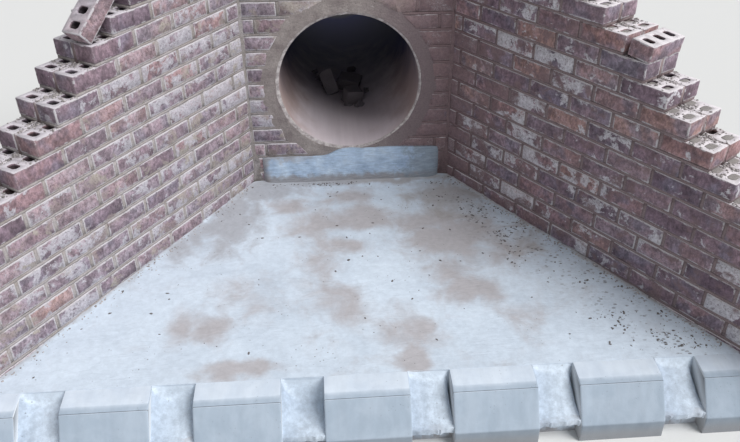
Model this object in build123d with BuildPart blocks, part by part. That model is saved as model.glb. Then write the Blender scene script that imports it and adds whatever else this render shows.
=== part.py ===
from build123d import *
import math
import os

os.makedirs("parts", exist_ok=True)

# Millimetres. The origin lies at the foot of the headwall's face, on the pipe's centre line.
# X runs across the channel, Y into the bank, Z up from the foot of the walls.

# Bricks and their bond
brick_length = 222.0
brick_width = 106.0
brick_height = 73.0
mortar_joint = 15.0
collar_joint = 18.0
course_rise = brick_height + mortar_joint
half_bond = (brick_length + mortar_joint) / 2
brick_bond = brick_length + mortar_joint
wall_thickness = 2 * brick_width + collar_joint

# Perforations of a brick, three oblong holes across its width
perforation_width = 34.0
perforation_length = 52.0
perforation_corner = 7.0
perforation_pitch = 71.0
perforation_end = (brick_length - 2 * perforation_pitch) / 2
open_perforation_depth = 58.0
filled_perforation_depth = 12.0

# Plan of the headwall and its two splayed wings
half_back_width = 548.0
splay_angle = 34.0
splay_sine = math.sin(math.radians(splay_angle))
splay_cosine = math.cos(math.radians(splay_angle))
mitre_slope = math.tan(math.radians(45 - splay_angle / 2))

# Levels, counted in courses from the foot of the walls
top_course_number = 19
left_foot_course_number = 6
right_foot_course_number = 7
apron_level = 326.0

# Where the course numbered here ends along each wing; every course below runs half a bond further
left_known_course_number = 15
left_known_end = 1041.0
right_known_course_number = 14
right_known_end = 1241.0
joint_set_back = 12.0
joint_drop = 9.0

# Pipe built through the headwall
pipe_bore_radius = 375.0
pipe_wall = 64.0
pipe_outer_radius = pipe_bore_radius + pipe_wall
pipe_centre_above_apron = 573.0
pipe_centre_level = apron_level + pipe_centre_above_apron
pipe_length = 2440.0
pipe_rim_chamfer = 8.0
round_fit = 0.3
pipe_end_rebate_length = 60.0
pipe_end_rebate_depth = 30.0

# Mortar surround between the pipe and the cut bricks
surround_width = 47.0
surround_radius = pipe_outer_radius + surround_width
surround_lap = 17.0
surround_lap_radius = pipe_bore_radius + surround_lap
surround_proud = 9.0
surround_edge_proud = 3.0

# Concrete sill under the pipe
sill_side_clearance = 48.0
sill_half_width = half_back_width - sill_side_clearance
sill_rise = 160.0
sill_top_level = apron_level + sill_rise
sill_top_depth = 16.0
sill_foot_depth = 34.0
sill_arris = 5.0

# Apron slab, falling to the kerbs
apron_fall = 0.052
apron_length = 1497.0
apron_thickness = 150.0
toe_width = 200.0

# Kerbs set in a toothed row along the apron's edge
kerb_count = 7
kerb_length = 348.0
kerb_row_shift = -18.0
kerb_top_width = 84.0
kerb_top_fall = 9.0
kerb_bevel_width = 28.0
kerb_bevel_fall = 9.0
kerb_face_run = 90.0
kerb_face_fall = 142.0
kerb_run_past_wing = 32.5
kerb_back = -apron_length
kerb_arris_y = kerb_back - kerb_top_width
kerb_bevel_y = kerb_arris_y - kerb_bevel_width
kerb_front_y = kerb_bevel_y - kerb_face_run
kerb_top_level = apron_level - apron_fall * apron_length
kerb_arris_level = kerb_top_level - kerb_top_fall
kerb_bevel_level = kerb_arris_level - kerb_bevel_fall
kerb_shoulder_level = kerb_bevel_level - kerb_face_fall

# The kerbs are spaced so that the end ones just run past the wings at their fronts
channel_front_half_width = half_back_width - kerb_front_y * splay_sine / splay_cosine
end_kerb_middle = channel_front_half_width + kerb_run_past_wing - kerb_length / 2
kerbs_each_side = (kerb_count - 1) / 2
kerb_pitch = end_kerb_middle / kerbs_each_side

# Spouts of apron concrete that drop between the kerbs
spout_lip_run = 190.0
spout_lip_fall = 143.0
spout_lip_thickness = 30.0
spout_undercut = 46.0
spout_undercut_fall = 45.0
spout_shares = ((0.0, 0.0), (0.075, 0.42), (0.20, 0.80), (0.50, 0.93), (1.0, 1.0))

# Mortar in the two inner corners
corner_mortar_leg = 17.0

# Loose bricks left on the racked wings
leaning_course_number = 16
leaning_toe_set_back = 17.0
leaning_face_set_back = 16.0
header_course_number = 15
header_overhang = 4.0
header_face_set_back = 3.0
header_tilt_rise = 14.0
header_bed_set_back = 22.0

left = -1
right = 1


def course_top(course):
    """Level of the top of a course's bricks."""
    return course * course_rise


def course_end(side, course):
    """Distance from the corner, along the wing's face, at which a course stops."""
    if side == left:
        return left_known_end + (left_known_course_number - course) * half_bond
    return right_known_end + (right_known_course_number - course) * half_bond


def foot_course(side):
    """Lowest course that shows a tread, at the wing's free end."""
    if side == left:
        return left_foot_course_number
    return right_foot_course_number


def wing_point(side, along, behind):
    """Plan point at a distance along a wing's face and behind that face."""
    across = half_back_width + along * splay_sine + behind * splay_cosine
    return (side * across, behind * splay_sine - along * splay_cosine)


def corner_point(side, behind):
    """Plan point of the mitre between headwall and wing at a depth behind their faces."""
    return (side * (half_back_width + behind * mitre_slope), behind)


def wing_face_plane(side):
    """Plane of a wing's face, X along the wing from the corner and Y up."""
    start = wing_point(side, 0, 0)
    along = (side * splay_sine, -splay_cosine, 0)
    square_to_face = (-splay_cosine, -side * splay_sine, 0)
    return Plane(origin=(start[0], start[1], 0), x_dir=along, z_dir=square_to_face)


def draw_outline(points):
    """Closed straight-sided face through the points, in the sketch being drawn."""
    Polygon(*points, align=None)


def draw_perforation(turn=0):
    """One oblong hole of a brick, its corners cut off, turned with the brick."""
    across = perforation_width / 2
    lengthwise = perforation_length / 2
    cut = perforation_corner
    Polygon(
        (across, lengthwise - cut), (across - cut, lengthwise), (cut - across, lengthwise),
        (-across, lengthwise - cut), (-across, cut - lengthwise), (cut - across, -lengthwise),
        (across - cut, -lengthwise), (across, cut - lengthwise), rotation=turn, align=None,
    )


def raise_headwall_layer(near, far, drop):
    """One layer of the headwall, mitred to the wings at both ends and pierced for the pipe."""
    with BuildSketch(Plane.XY) as plan:
        draw_outline(
            [corner_point(left, near), corner_point(right, near),
             corner_point(right, far), corner_point(left, far)]
        )
    extrude(plan.sketch, amount=course_top(top_course_number) - drop, dir=(0, 0, 1))


def pierce_for_pipe(radius):
    """Round hole through the headwall on the pipe's axis."""
    with BuildSketch(Plane.XZ) as hole:
        with Locations((0, pipe_centre_level)):
            Circle(radius)
    extrude(hole.sketch, amount=wall_thickness + mortar_joint, both=True, mode=Mode.SUBTRACT)


def raise_wing_layer(side, near, far, set_back, drop):
    """One layer of a wing, its top racked down in steps of half a brick to the free end."""
    foot = foot_course(side)
    foot_end = course_end(side, foot) - set_back
    with BuildSketch(Plane.XY) as plan:
        draw_outline(
            [corner_point(side, near), corner_point(side, far), wing_point(side, foot_end, far),
             wing_point(side, foot_end, near)]
        )
    extrude(plan.sketch, amount=course_top(top_course_number) - drop, dir=(0, 0, 1))
    above = course_top(top_course_number) + course_rise
    beyond = foot_end + half_bond
    steps = [(beyond, above), (course_end(side, top_course_number) - set_back, above)]
    for course in range(top_course_number - 1, foot - 1, -1):
        tread = course_top(course) - drop
        steps.append((course_end(side, course + 1) - set_back, tread))
        steps.append((course_end(side, course) - set_back, tread))
    steps.append((beyond, course_top(foot) - drop))
    with BuildSketch(wing_face_plane(side)) as racking:
        draw_outline(steps)
    extrude(racking.sketch, amount=2 * wall_thickness, both=True, mode=Mode.SUBTRACT)


def perforate_treads(side, behind):
    """Perforations that the stepped courses of one wing leave open to view."""
    turn = side * (splay_angle - 90)
    shown_part = half_bond - perforation_end - perforation_pitch + perforation_width / 2
    part_centre = half_bond - shown_part / 2
    for course in range(foot_course(side), top_course_number):
        end = course_end(side, course)
        with BuildSketch(Plane.XY.offset(course_top(course))) as open_hole:
            with Locations(wing_point(side, end - perforation_end, behind)):
                draw_perforation(turn)
        extrude(open_hole.sketch, amount=open_perforation_depth, dir=(0, 0, -1), mode=Mode.SUBTRACT)
        with BuildSketch(Plane.XY.offset(course_top(course))) as filled_hole:
            with Locations(wing_point(side, end - part_centre, behind)):
                Rectangle(shown_part, perforation_length, rotation=turn)
        extrude(filled_hole.sketch, amount=filled_perforation_depth, dir=(0, 0, -1), mode=Mode.SUBTRACT)


def perforate_wing_top(side, behind):
    """Perforations in the level part of a wing's top course."""
    turn = side * (splay_angle - 90)
    end = course_end(side, top_course_number)
    spots = []
    brick_end = end
    while brick_end - perforation_end - 2 * perforation_pitch > perforation_width:
        for hole in range(3):
            spots.append(wing_point(side, brick_end - perforation_end - hole * perforation_pitch, behind))
        brick_end = brick_end - brick_bond
    with BuildSketch(Plane.XY.offset(course_top(top_course_number))) as holes:
        with Locations(*spots):
            draw_perforation(turn)
    extrude(holes.sketch, amount=open_perforation_depth, dir=(0, 0, -1), mode=Mode.SUBTRACT)


def perforate_headwall_top(behind):
    """Perforations in the headwall's top course, one brick centred on the pipe."""
    bricks_a_side = int((half_back_width - brick_length / 2) // brick_bond)
    spots = []
    for brick in range(-bricks_a_side, bricks_a_side + 1):
        for hole in (-1, 0, 1):
            spots.append((brick * brick_bond + hole * perforation_pitch, behind))
    with BuildSketch(Plane.XY.offset(course_top(top_course_number))) as holes:
        with Locations(*spots):
            draw_perforation()
    extrude(holes.sketch, amount=open_perforation_depth, dir=(0, 0, -1), mode=Mode.SUBTRACT)


front_leaf_middle = brick_width / 2
back_leaf_middle = wall_thickness - brick_width / 2

# Headwall, two leaves of brickwork and the mortar between them
with BuildPart() as headwall_front_leaf:
    raise_headwall_layer(0, brick_width, 0)
    pierce_for_pipe(surround_radius)
    perforate_headwall_top(front_leaf_middle)
headwall_front_leaf.part.label = "headwall_front_leaf"
export_step(headwall_front_leaf.part, "parts/headwall_front_leaf.step")

with BuildPart() as headwall_collar_joint:
    raise_headwall_layer(brick_width, brick_width + collar_joint, joint_drop)
    pierce_for_pipe(pipe_outer_radius + round_fit)
headwall_collar_joint.part.label = "headwall_collar_joint"
export_step(headwall_collar_joint.part, "parts/headwall_collar_joint.step")

with BuildPart() as headwall_back_leaf:
    raise_headwall_layer(brick_width + collar_joint, wall_thickness, 0)
    pierce_for_pipe(pipe_outer_radius + round_fit)
    perforate_headwall_top(back_leaf_middle)
headwall_back_leaf.part.label = "headwall_back_leaf"
export_step(headwall_back_leaf.part, "parts/headwall_back_leaf.step")

# Left wing
with BuildPart() as left_wing_front_leaf:
    raise_wing_layer(left, 0, brick_width, 0, 0)
    perforate_treads(left, front_leaf_middle)
    perforate_wing_top(left, front_leaf_middle)
left_wing_front_leaf.part.label = "left_wing_front_leaf"
export_step(left_wing_front_leaf.part, "parts/left_wing_front_leaf.step")

with BuildPart() as left_wing_collar_joint:
    raise_wing_layer(left, brick_width, brick_width + collar_joint, joint_set_back, joint_drop)
left_wing_collar_joint.part.label = "left_wing_collar_joint"
export_step(left_wing_collar_joint.part, "parts/left_wing_collar_joint.step")

with BuildPart() as left_wing_back_leaf:
    raise_wing_layer(left, brick_width + collar_joint, wall_thickness, 0, 0)
    perforate_treads(left, back_leaf_middle)
    perforate_wing_top(left, back_leaf_middle)
left_wing_back_leaf.part.label = "left_wing_back_leaf"
export_step(left_wing_back_leaf.part, "parts/left_wing_back_leaf.step")

# Right wing
with BuildPart() as right_wing_front_leaf:
    raise_wing_layer(right, 0, brick_width, 0, 0)
    perforate_treads(right, front_leaf_middle)
    perforate_wing_top(right, front_leaf_middle)
right_wing_front_leaf.part.label = "right_wing_front_leaf"
export_step(right_wing_front_leaf.part, "parts/right_wing_front_leaf.step")

with BuildPart() as right_wing_collar_joint:
    raise_wing_layer(right, brick_width, brick_width + collar_joint, joint_set_back, joint_drop)
right_wing_collar_joint.part.label = "right_wing_collar_joint"
export_step(right_wing_collar_joint.part, "parts/right_wing_collar_joint.step")

with BuildPart() as right_wing_back_leaf:
    raise_wing_layer(right, brick_width + collar_joint, wall_thickness, 0, 0)
    perforate_treads(right, back_leaf_middle)
    perforate_wing_top(right, back_leaf_middle)
right_wing_back_leaf.part.label = "right_wing_back_leaf"
export_step(right_wing_back_leaf.part, "parts/right_wing_back_leaf.step")


def run_corner_mortar(side):
    """Mortar struck hollow with the trowel up an inner corner, from the apron to the top course."""
    corner = wing_point(side, 0, 0)
    on_headwall = (corner[0] - side * corner_mortar_leg, 0)
    on_wing = wing_point(side, corner_mortar_leg, 0)
    hollow_x = (on_headwall[0] + on_wing[0] + 2 * corner[0]) / 4
    hollow_y = (on_headwall[1] + on_wing[1] + 2 * corner[1]) / 4
    with BuildSketch(Plane.XY.offset(apron_level)) as plan:
        draw_outline([corner, on_headwall, (hollow_x, hollow_y), on_wing])
    extrude(plan.sketch, amount=course_top(top_course_number) - mortar_joint - apron_level, dir=(0, 0, 1))


with BuildPart() as left_corner_mortar:
    run_corner_mortar(left)
left_corner_mortar.part.label = "left_corner_mortar"
export_step(left_corner_mortar.part, "parts/left_corner_mortar.step")

with BuildPart() as right_corner_mortar:
    run_corner_mortar(right)
right_corner_mortar.part.label = "right_corner_mortar"
export_step(right_corner_mortar.part, "parts/right_corner_mortar.step")

# Pipe unit built through the headwall, its far end rebated for the next unit
pipe_level_plane = Plane.XY.offset(pipe_centre_level)
pipe_axis = Axis((0, 0, pipe_centre_level), (0, 1, 0))
rebated_radius = pipe_outer_radius - pipe_end_rebate_depth
rebate_start = pipe_length - pipe_end_rebate_length
with BuildPart() as pipe_barrel:
    with BuildSketch(pipe_level_plane):
        draw_outline(
            [(pipe_bore_radius + pipe_rim_chamfer, 0), (pipe_outer_radius, 0),
             (pipe_outer_radius, rebate_start), (rebated_radius, rebate_start),
             (rebated_radius, pipe_length), (pipe_bore_radius, pipe_length),
             (pipe_bore_radius, pipe_rim_chamfer)]
        )
    revolve(axis=pipe_axis)
pipe_barrel.part.label = "pipe_barrel"
export_step(pipe_barrel.part, "parts/pipe_barrel.step")

# Mortar that packs the ring between pipe and bricks and laps over the pipe's end
surround_inner = pipe_outer_radius + round_fit
surround_outer = surround_radius - round_fit
with BuildPart() as pipe_surround:
    with BuildSketch(pipe_level_plane):
        draw_outline(
            [(surround_inner, brick_width), (surround_inner, 0), (surround_lap_radius, 0),
             (surround_lap_radius + surround_edge_proud, -surround_edge_proud),
             (pipe_outer_radius, -surround_proud), (surround_outer, -surround_edge_proud),
             (surround_outer, brick_width)]
        )
    revolve(axis=pipe_axis)
    with BuildSketch(Plane.XZ):
        with Locations((0, sill_top_level - surround_radius)):
            Rectangle(2 * surround_radius, 2 * surround_radius)
    extrude(amount=2 * surround_proud, mode=Mode.SUBTRACT)
pipe_surround.part.label = "pipe_surround"
export_step(pipe_surround.part, "parts/pipe_surround.step")

# Battered sill of concrete between apron and pipe
with BuildPart() as sill:
    with BuildSketch(Plane.YZ.offset(-sill_half_width)):
        draw_outline(
            [(0, apron_level), (0, sill_top_level), (-sill_top_depth, sill_top_level),
             (-sill_foot_depth, apron_level - apron_fall * sill_foot_depth)]
        )
    extrude(amount=2 * sill_half_width)
    fillet(sill.edges().filter_by(Axis.X).group_by(Axis.Z)[-1].group_by(Axis.Y)[0], radius=sill_arris)
sill.part.label = "sill"
export_step(sill.part, "parts/sill.step")


def trim_to_wings():
    """Cuts away whatever would run in behind the faces of the two wings."""
    reach = left_known_end + left_known_course_number * brick_bond
    for side in (left, right):
        with BuildSketch(Plane.XY) as plan:
            draw_outline(
                [wing_point(side, -reach, 0), wing_point(side, reach, 0), wing_point(side, reach, 2 * reach),
                 wing_point(side, -reach, 2 * reach)]
            )
        extrude(plan.sketch, amount=course_top(top_course_number), dir=(0, 0, 1), mode=Mode.SUBTRACT)


def kerb_start(number):
    """Left end of a kerb, counted from one at the left."""
    return kerb_row_shift + (number - (kerb_count + 1) / 2) * kerb_pitch - kerb_length / 2


# Apron slab with its toe, and the spouts of the same pour that drop between the kerbs
channel_half_width = half_back_width + apron_length
toe_start = kerb_back + toe_width
slab_underside_level = apron_level - apron_thickness
slab_underside_at_toe = slab_underside_level + apron_fall * toe_start
spout_lip_y = kerb_back - spout_lip_run
spout_lip_level = kerb_top_level - spout_lip_fall
spout_under_y = spout_lip_y + spout_undercut
spout_curve = [
    (kerb_back - run_share * spout_lip_run, kerb_top_level - fall_share * spout_lip_fall)
    for run_share, fall_share in spout_shares
]
with BuildPart() as apron_slab:
    with BuildSketch(Plane.YZ.offset(-channel_half_width)):
        draw_outline(
            [(0, apron_level), (kerb_back, kerb_top_level), (kerb_back, 0), (toe_start, 0),
             (toe_start, slab_underside_at_toe), (0, slab_underside_level)]
        )
    extrude(amount=2 * channel_half_width)
    for number in range(1, kerb_count):
        spout_start = kerb_start(number) + kerb_length
        with BuildSketch(Plane.YZ.offset(spout_start)):
            with BuildLine():
                Line((kerb_back, 0), (kerb_back, kerb_top_level))
                Spline(*spout_curve)
                Polyline(
                    (spout_lip_y, spout_lip_level),
                    (spout_lip_y, spout_lip_level - spout_lip_thickness),
                    (spout_under_y, spout_lip_level - spout_undercut_fall),
                    (spout_under_y, 0),
                    (kerb_back, 0),
                )
            make_face()
        extrude(amount=kerb_pitch - kerb_length)
    trim_to_wings()
apron_slab.part.label = "apron_slab"
export_step(apron_slab.part, "parts/apron_slab.step")

# Compacted bed that fills under the slab behind its toe
with BuildPart() as apron_bed:
    with BuildSketch(Plane.YZ.offset(-channel_half_width)):
        draw_outline(
            [(0, 0), (0, slab_underside_level), (toe_start, slab_underside_at_toe), (toe_start, 0)]
        )
    extrude(amount=2 * channel_half_width)
    trim_to_wings()
apron_bed.part.label = "apron_bed"
export_step(apron_bed.part, "parts/apron_bed.step")

# Kerbs, the end ones cut to the splay of the wings
for number in range(1, kerb_count + 1):
    with BuildPart() as kerb:
        with BuildSketch(Plane.YZ.offset(kerb_start(number))):
            draw_outline(
                [(kerb_back, 0), (kerb_back, kerb_top_level), (kerb_arris_y, kerb_arris_level),
                 (kerb_bevel_y, kerb_bevel_level), (kerb_front_y, kerb_shoulder_level), (kerb_front_y, 0)]
            )
        extrude(amount=kerb_length)
        trim_to_wings()
    kerb.part.label = "kerb_" + str(number)
    export_step(kerb.part, "parts/kerb_" + str(number) + ".step")


def draw_perforated_brick():
    """Bed face of a brick with its three holes, in the sketch being drawn."""
    Rectangle(brick_length, brick_width)
    with BuildSketch() as holes:
        with Locations((-perforation_pitch, 0), (0, 0), (perforation_pitch, 0)):
            draw_perforation()
    add(holes.sketch, mode=Mode.SUBTRACT)


# Brick that leans on the left wing from one tread up to the nose of the next step
leaning_along = course_end(left, leaning_course_number) - leaning_toe_set_back
leaning_behind = leaning_face_set_back + brick_width / 2
leaning_run = leaning_along - course_end(left, leaning_course_number + 1)
leaning_angle = math.atan2(course_rise + 2 * round_fit, leaning_run)
uphill_run = math.cos(leaning_angle)
uphill_rise = math.sin(leaning_angle)
leaning_toe = wing_point(left, leaning_along, leaning_behind)
uphill = (splay_sine * uphill_run, splay_cosine * uphill_run, uphill_rise)
off_slope = (-splay_sine * uphill_rise, -splay_cosine * uphill_rise, uphill_run)
leaning_underside = Plane(
    origin=(
        leaning_toe[0] + uphill[0] * brick_length / 2,
        leaning_toe[1] + uphill[1] * brick_length / 2,
        course_top(leaning_course_number) + uphill[2] * brick_length / 2,
    ),
    x_dir=uphill,
    z_dir=off_slope,
)
with BuildPart() as leaning_brick:
    with BuildSketch(leaning_underside):
        draw_perforated_brick()
    extrude(amount=brick_height)
leaning_brick.part.label = "leaning_brick"
export_step(leaning_brick.part, "parts/leaning_brick.step")

# Header brick laid across the right wing, propped a little open on its bed
header_tread = course_top(header_course_number)
header_nose = course_end(right, header_course_number)
header_tilt = math.asin(header_tilt_rise / brick_width)
header_low = header_nose + header_overhang * math.cos(header_tilt)
header_low_level = header_tread - header_overhang * math.sin(header_tilt)
header_middle = header_low - brick_width / 2 * math.cos(header_tilt)
header_middle_level = header_low_level + brick_width / 2 * math.sin(header_tilt)
header_spot = wing_point(right, header_middle, header_face_set_back + brick_length / 2)
header_across = (splay_cosine, splay_sine, 0)
header_normal = (
    splay_sine * math.sin(header_tilt),
    -splay_cosine * math.sin(header_tilt),
    math.cos(header_tilt),
)
header_underside = Plane(
    origin=(header_spot[0], header_spot[1], header_middle_level), x_dir=header_across, z_dir=header_normal
)
with BuildPart() as loose_header_brick:
    with BuildSketch(header_underside):
        draw_perforated_brick()
    extrude(amount=brick_height)
loose_header_brick.part.label = "loose_header_brick"
export_step(loose_header_brick.part, "parts/loose_header_brick.step")

# Wedge of mortar that props the header brick, kept back from its faces
bed_outer = header_nose - header_bed_set_back
bed_inner = header_low - brick_width * math.cos(header_tilt) + header_bed_set_back
bed_slope = math.tan(header_tilt)
with BuildPart() as loose_header_bed:
    with BuildSketch(wing_face_plane(right).offset(-header_bed_set_back)):
        draw_outline(
            [(bed_outer, header_tread), (bed_inner, header_tread),
             (bed_inner, header_tread + (header_nose - bed_inner) * bed_slope),
             (bed_outer, header_tread + (header_nose - bed_outer) * bed_slope)]
        )
    extrude(amount=-(wall_thickness - 2 * header_bed_set_back))
loose_header_bed.part.label = "loose_header_bed"
export_step(loose_header_bed.part, "parts/loose_header_bed.step")
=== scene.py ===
"""Looks of a brick culvert headwall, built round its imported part.

Metres. X runs across the channel, Y into the bank along the pipe, Z up from the foot of the walls.
Along a wall, places are given as the distance along its face, the distance behind its face, and the level.
"""
import itertools
import math

import bpy
import numpy as np
from mathutils import Matrix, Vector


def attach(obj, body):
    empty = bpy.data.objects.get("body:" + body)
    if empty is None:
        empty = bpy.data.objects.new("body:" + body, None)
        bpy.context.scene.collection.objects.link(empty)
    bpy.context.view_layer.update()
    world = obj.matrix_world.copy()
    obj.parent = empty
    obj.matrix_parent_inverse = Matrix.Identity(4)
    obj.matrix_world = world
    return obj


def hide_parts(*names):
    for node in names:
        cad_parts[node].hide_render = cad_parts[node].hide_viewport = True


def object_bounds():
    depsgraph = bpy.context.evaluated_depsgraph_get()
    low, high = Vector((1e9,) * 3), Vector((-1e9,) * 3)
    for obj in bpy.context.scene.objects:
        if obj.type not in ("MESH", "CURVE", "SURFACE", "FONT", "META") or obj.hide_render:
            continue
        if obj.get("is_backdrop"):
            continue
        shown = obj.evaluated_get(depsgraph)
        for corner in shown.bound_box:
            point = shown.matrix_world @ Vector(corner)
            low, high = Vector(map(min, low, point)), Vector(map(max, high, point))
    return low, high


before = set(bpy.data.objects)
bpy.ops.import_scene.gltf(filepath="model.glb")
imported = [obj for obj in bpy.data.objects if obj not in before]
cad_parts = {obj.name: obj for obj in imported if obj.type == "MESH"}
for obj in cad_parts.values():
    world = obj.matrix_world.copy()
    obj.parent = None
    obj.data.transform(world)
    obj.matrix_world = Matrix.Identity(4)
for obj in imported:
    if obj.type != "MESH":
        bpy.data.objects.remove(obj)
part_low, part_high = (np.array(corner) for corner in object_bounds())

# Bricks and their bond
brick_length = 0.222
brick_width = 0.106
brick_height = 0.073
joint = 0.015
collar_joint = 0.018
course_rise = brick_height + joint
brick_bond = brick_length + joint
half_bond = brick_bond / 2
half_brick = half_bond - joint
wall_thickness = 2 * brick_width + collar_joint
back_leaf = brick_width + collar_joint
top_course = 19
least_closer = 0.04

# How bricks stray from their places, and how those round the pipe are cut to its ring
brick_tilt = 0.0035
brick_stray = 0.0011
least_share_outside = 0.30
corner_brick_reach = 0.055
ring_slip = 0.006

# Range of the random shift that keeps two bricks from showing the same grain
grain_shift = 40

# Perforations of a brick
hole_pitch = 0.071
hole_half_width = 0.017
hole_half_length = 0.026
hole_corner = 0.009
hole_depth = 0.064
first_hole = brick_length / 2 - hole_pitch

# Plan of the walls
half_back_width = 0.548
splay = math.radians(34)
splay_run = math.tan(splay)
mitre_slope = math.tan(math.radians(45) - splay / 2)
left_end_of_course_15 = 1.041
right_end_of_course_14 = 1.241
foot_course = {"left": 6, "right": 7}
joint_recess = {"left": 0.0025, "right": 0.0045, "headwall": 0.0028}
corner_lift = 0.030

# Mortar joints: how far bars reach into what they touch, their roughness, and the spacing of their rings
collar_set_back = 0.002
collar_drop = 0.0015
collar_overlap = 0.0005
bar_overlap = 0.001
bar_roughness = 0.0026
bar_spacing = 0.016
fine_spacing = 0.011
flush_recess = 0.0006
least_bar = 0.005

# Pipe, mortar round it, sill
pipe_level = 0.899
bore_radius = 0.375
pipe_radius = 0.439
pipe_length = 2.44
pipe_rebate = 0.06
rebate_radius = 0.409
pipe_gap = 0.0005
brick_ring_radius = 0.458
back_ring_radius = pipe_radius + 0.006
surround_radius = 0.466
tail_radius = 0.508
back_mortar_radius = 0.482
sill_half_width = 0.5
sill_left_top = 0.474

# Apron, kerbs and spouts
apron_level = 0.326
apron_fall = 0.052
apron_length = 1.497
apron_thickness = 0.15
toe_width = 0.2
kerb_count = 7
kerb_length = 0.348
kerb_pitch = 0.5175
kerb_row_shift = -0.018
kerb_gap = 0.001
kerb_back = -apron_length
kerb_top = apron_level - apron_fall * apron_length

# Level just under the apron's waves, which the pieces that stand on it reach down to
apron_contact = apron_level - 0.004

up = np.array([0.0, 0.0, 1.0])


class Wall:
    """One straight wall: the foot of its face, the way that it runs and the way behind it."""

    def __init__(self, foot, along, behind, side=None):
        self.side = side
        self.foot = np.array([foot[0], foot[1], 0.0])
        self.along = np.array([along[0], along[1], 0.0])
        self.behind = np.array([behind[0], behind[1], 0.0])

    def place(self, spots):
        """Points of the part from distances along the wall, behind its face and up."""
        return self.foot + spots[..., :1] * self.along + spots[..., 1:2] * self.behind + spots[..., 2:] * up

    def lift(self, along, top):
        """How far a course with its even top level stands higher: most at the inner corner, evenly less
        towards its tread, and nothing on the tread, at the floor and on the top course."""
        share = 1.0
        if self.side:
            course = np.minimum(np.round(top / course_rise), top_course)
            share = np.clip(1 - along / (course_end(self.side, course) - half_bond), 0, 1)
        share = share * np.clip(top / apron_level, 0, 1)
        return corner_lift * share * np.clip((top_course * course_rise - top) / 0.30, 0, 1)


aside, ahead = math.sin(splay), math.cos(splay)
walls = {
    "left": Wall((-half_back_width, 0), (-aside, -ahead), (-ahead, aside), "left"),
    "right": Wall((half_back_width, 0), (aside, -ahead), (ahead, aside), "right"),
    "headwall": Wall((0, 0), (1, 0), (0, 1)),
}


def course_end(side, course):
    """Where a wing's course stops: half a bond further for each course down, as far as the foot course."""
    counted = np.maximum(course, foot_course[side])
    if side == "left":
        return left_end_of_course_15 + (15 - counted) * half_bond
    return right_end_of_course_14 + (14 - counted) * half_bond


def bed_level(course):
    """Level at the foot of a course's bed joint, where the course below ends."""
    return (course - 1) * course_rise


def in_threes(first, second, third):
    """Points whose three numbers come from three arrays, each stretched to their common shape."""
    return np.stack(np.broadcast_arrays(first, second, third), -1)


def curve_between(start, pull, end, share):
    """Point at a share of the quadratic curve from start to end, pulled towards a third point."""
    return start * (1 - share) ** 2 + 2 * pull * share * (1 - share) + end * share ** 2


def spun(first, second, angle):
    """Two of a point's numbers after a turn by the angle from the first axis towards the second."""
    cosine, sine = np.cos(angle), np.sin(angle)
    return first * cosine - second * sine, first * sine + second * cosine


def placing(right, top, back):
    """Turn of a lamp or camera whose own X, Y and Z point right, to its top and back."""
    return Matrix(np.column_stack([right, top, back]).tolist()).to_4x4()


# Numbers that vary smoothly from place to place


def lattice_value(cells, seed):
    """A fixed number from -1 to 1 for each whole-numbered cell, mixed from its numbers and the seed."""
    mixed = cells[..., 0] * 73856093 ^ cells[..., 1] * 19349663 ^ cells[..., 2] * 83492791 ^ seed * 26544357
    mixed = (mixed ^ (mixed >> 13)) * 1274126177
    return ((mixed ^ (mixed >> 16)) & 65535) / 32767.5 - 1


def soft_noise(points, scale, seed):
    """Smooth noise from -1 to 1: values at a lattice's corners, blended by eased shares along each axis."""
    where = np.asarray(points) * scale
    cell = np.floor(where).astype(np.int64)
    share = where - cell
    share = share * share * (3 - 2 * share)
    total = np.zeros(where.shape[:-1])
    for corner in itertools.product((0, 1), repeat=3):
        weight = np.prod(np.where(corner, share, 1 - share), axis=-1)
        total += weight * lattice_value(cell + np.array(corner), seed)
    return total


def rough_noise(points, scale, seed, layers=3):
    """Soft noise in layers, each twice as fine as the last and half as strong."""
    return sum(soft_noise(points, scale * 2 ** n, seed + n) / 2 ** n for n in range(layers)) / 1.5


# Faces of closed shapes, and the piece that they make


def tube_faces(rings, around):
    """Quads between neighbouring rings of points, and an end cap on the first and last ring."""
    ring = np.arange(rings - 1)[:, None] * around
    spot = np.arange(around)[None, :]
    after = (spot + 1) % around
    quads = np.stack([ring + spot, ring + after, ring + around + after, ring + around + spot], -1)
    first = np.arange(around)[None, ::-1]
    last = (rings - 1) * around + np.arange(around)[None, :]
    return [quads.reshape(-1, 4), first, last]


def tubes(copies):
    """Points and faces of several closed shapes of one kind, each given by its rings of points."""
    count, rings, around = copies.shape[:3]
    return copies.reshape(-1, 3), repeated(tube_faces(rings, around), count, rings * around)


def tube(rings):
    """Points and faces of one closed shape, given by its rings of points."""
    return tubes(rings[None])


def wheel_faces(rings, around):
    """Quads between the rings of a shape that closes on itself both ways, such as a turned pipe."""
    ring = np.arange(rings)[:, None] * around
    next_ring = np.roll(ring, -1, axis=0)
    spot = np.arange(around)[None, :]
    after = (spot + 1) % around
    quads = np.stack([ring + spot, ring + after, next_ring + after, next_ring + spot], -1)
    return [quads.reshape(-1, 4)]


def repeated(faces, copies, points_each):
    """The same faces for every copy of a shape, each copy's points following the last one's."""
    shift = np.arange(copies)[:, None, None] * points_each
    return [(face[None] + shift).reshape(-1, face.shape[1]) for face in faces]


def outward(points, faces):
    """The faces of a closed shape, turned round if its volume comes out below nothing. The volume is the
    sum over the faces, fanned into triangles, of the box product of their three corners, over six."""
    total = 0.0
    for face in faces:
        for spot in range(1, face.shape[1] - 1):
            a, b, c = points[face[:, 0]], points[face[:, spot]], points[face[:, spot + 1]]
            total += np.sum(a * np.cross(b, c)) / 6
    return faces if total > 0 else [face[:, ::-1] for face in faces]


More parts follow.
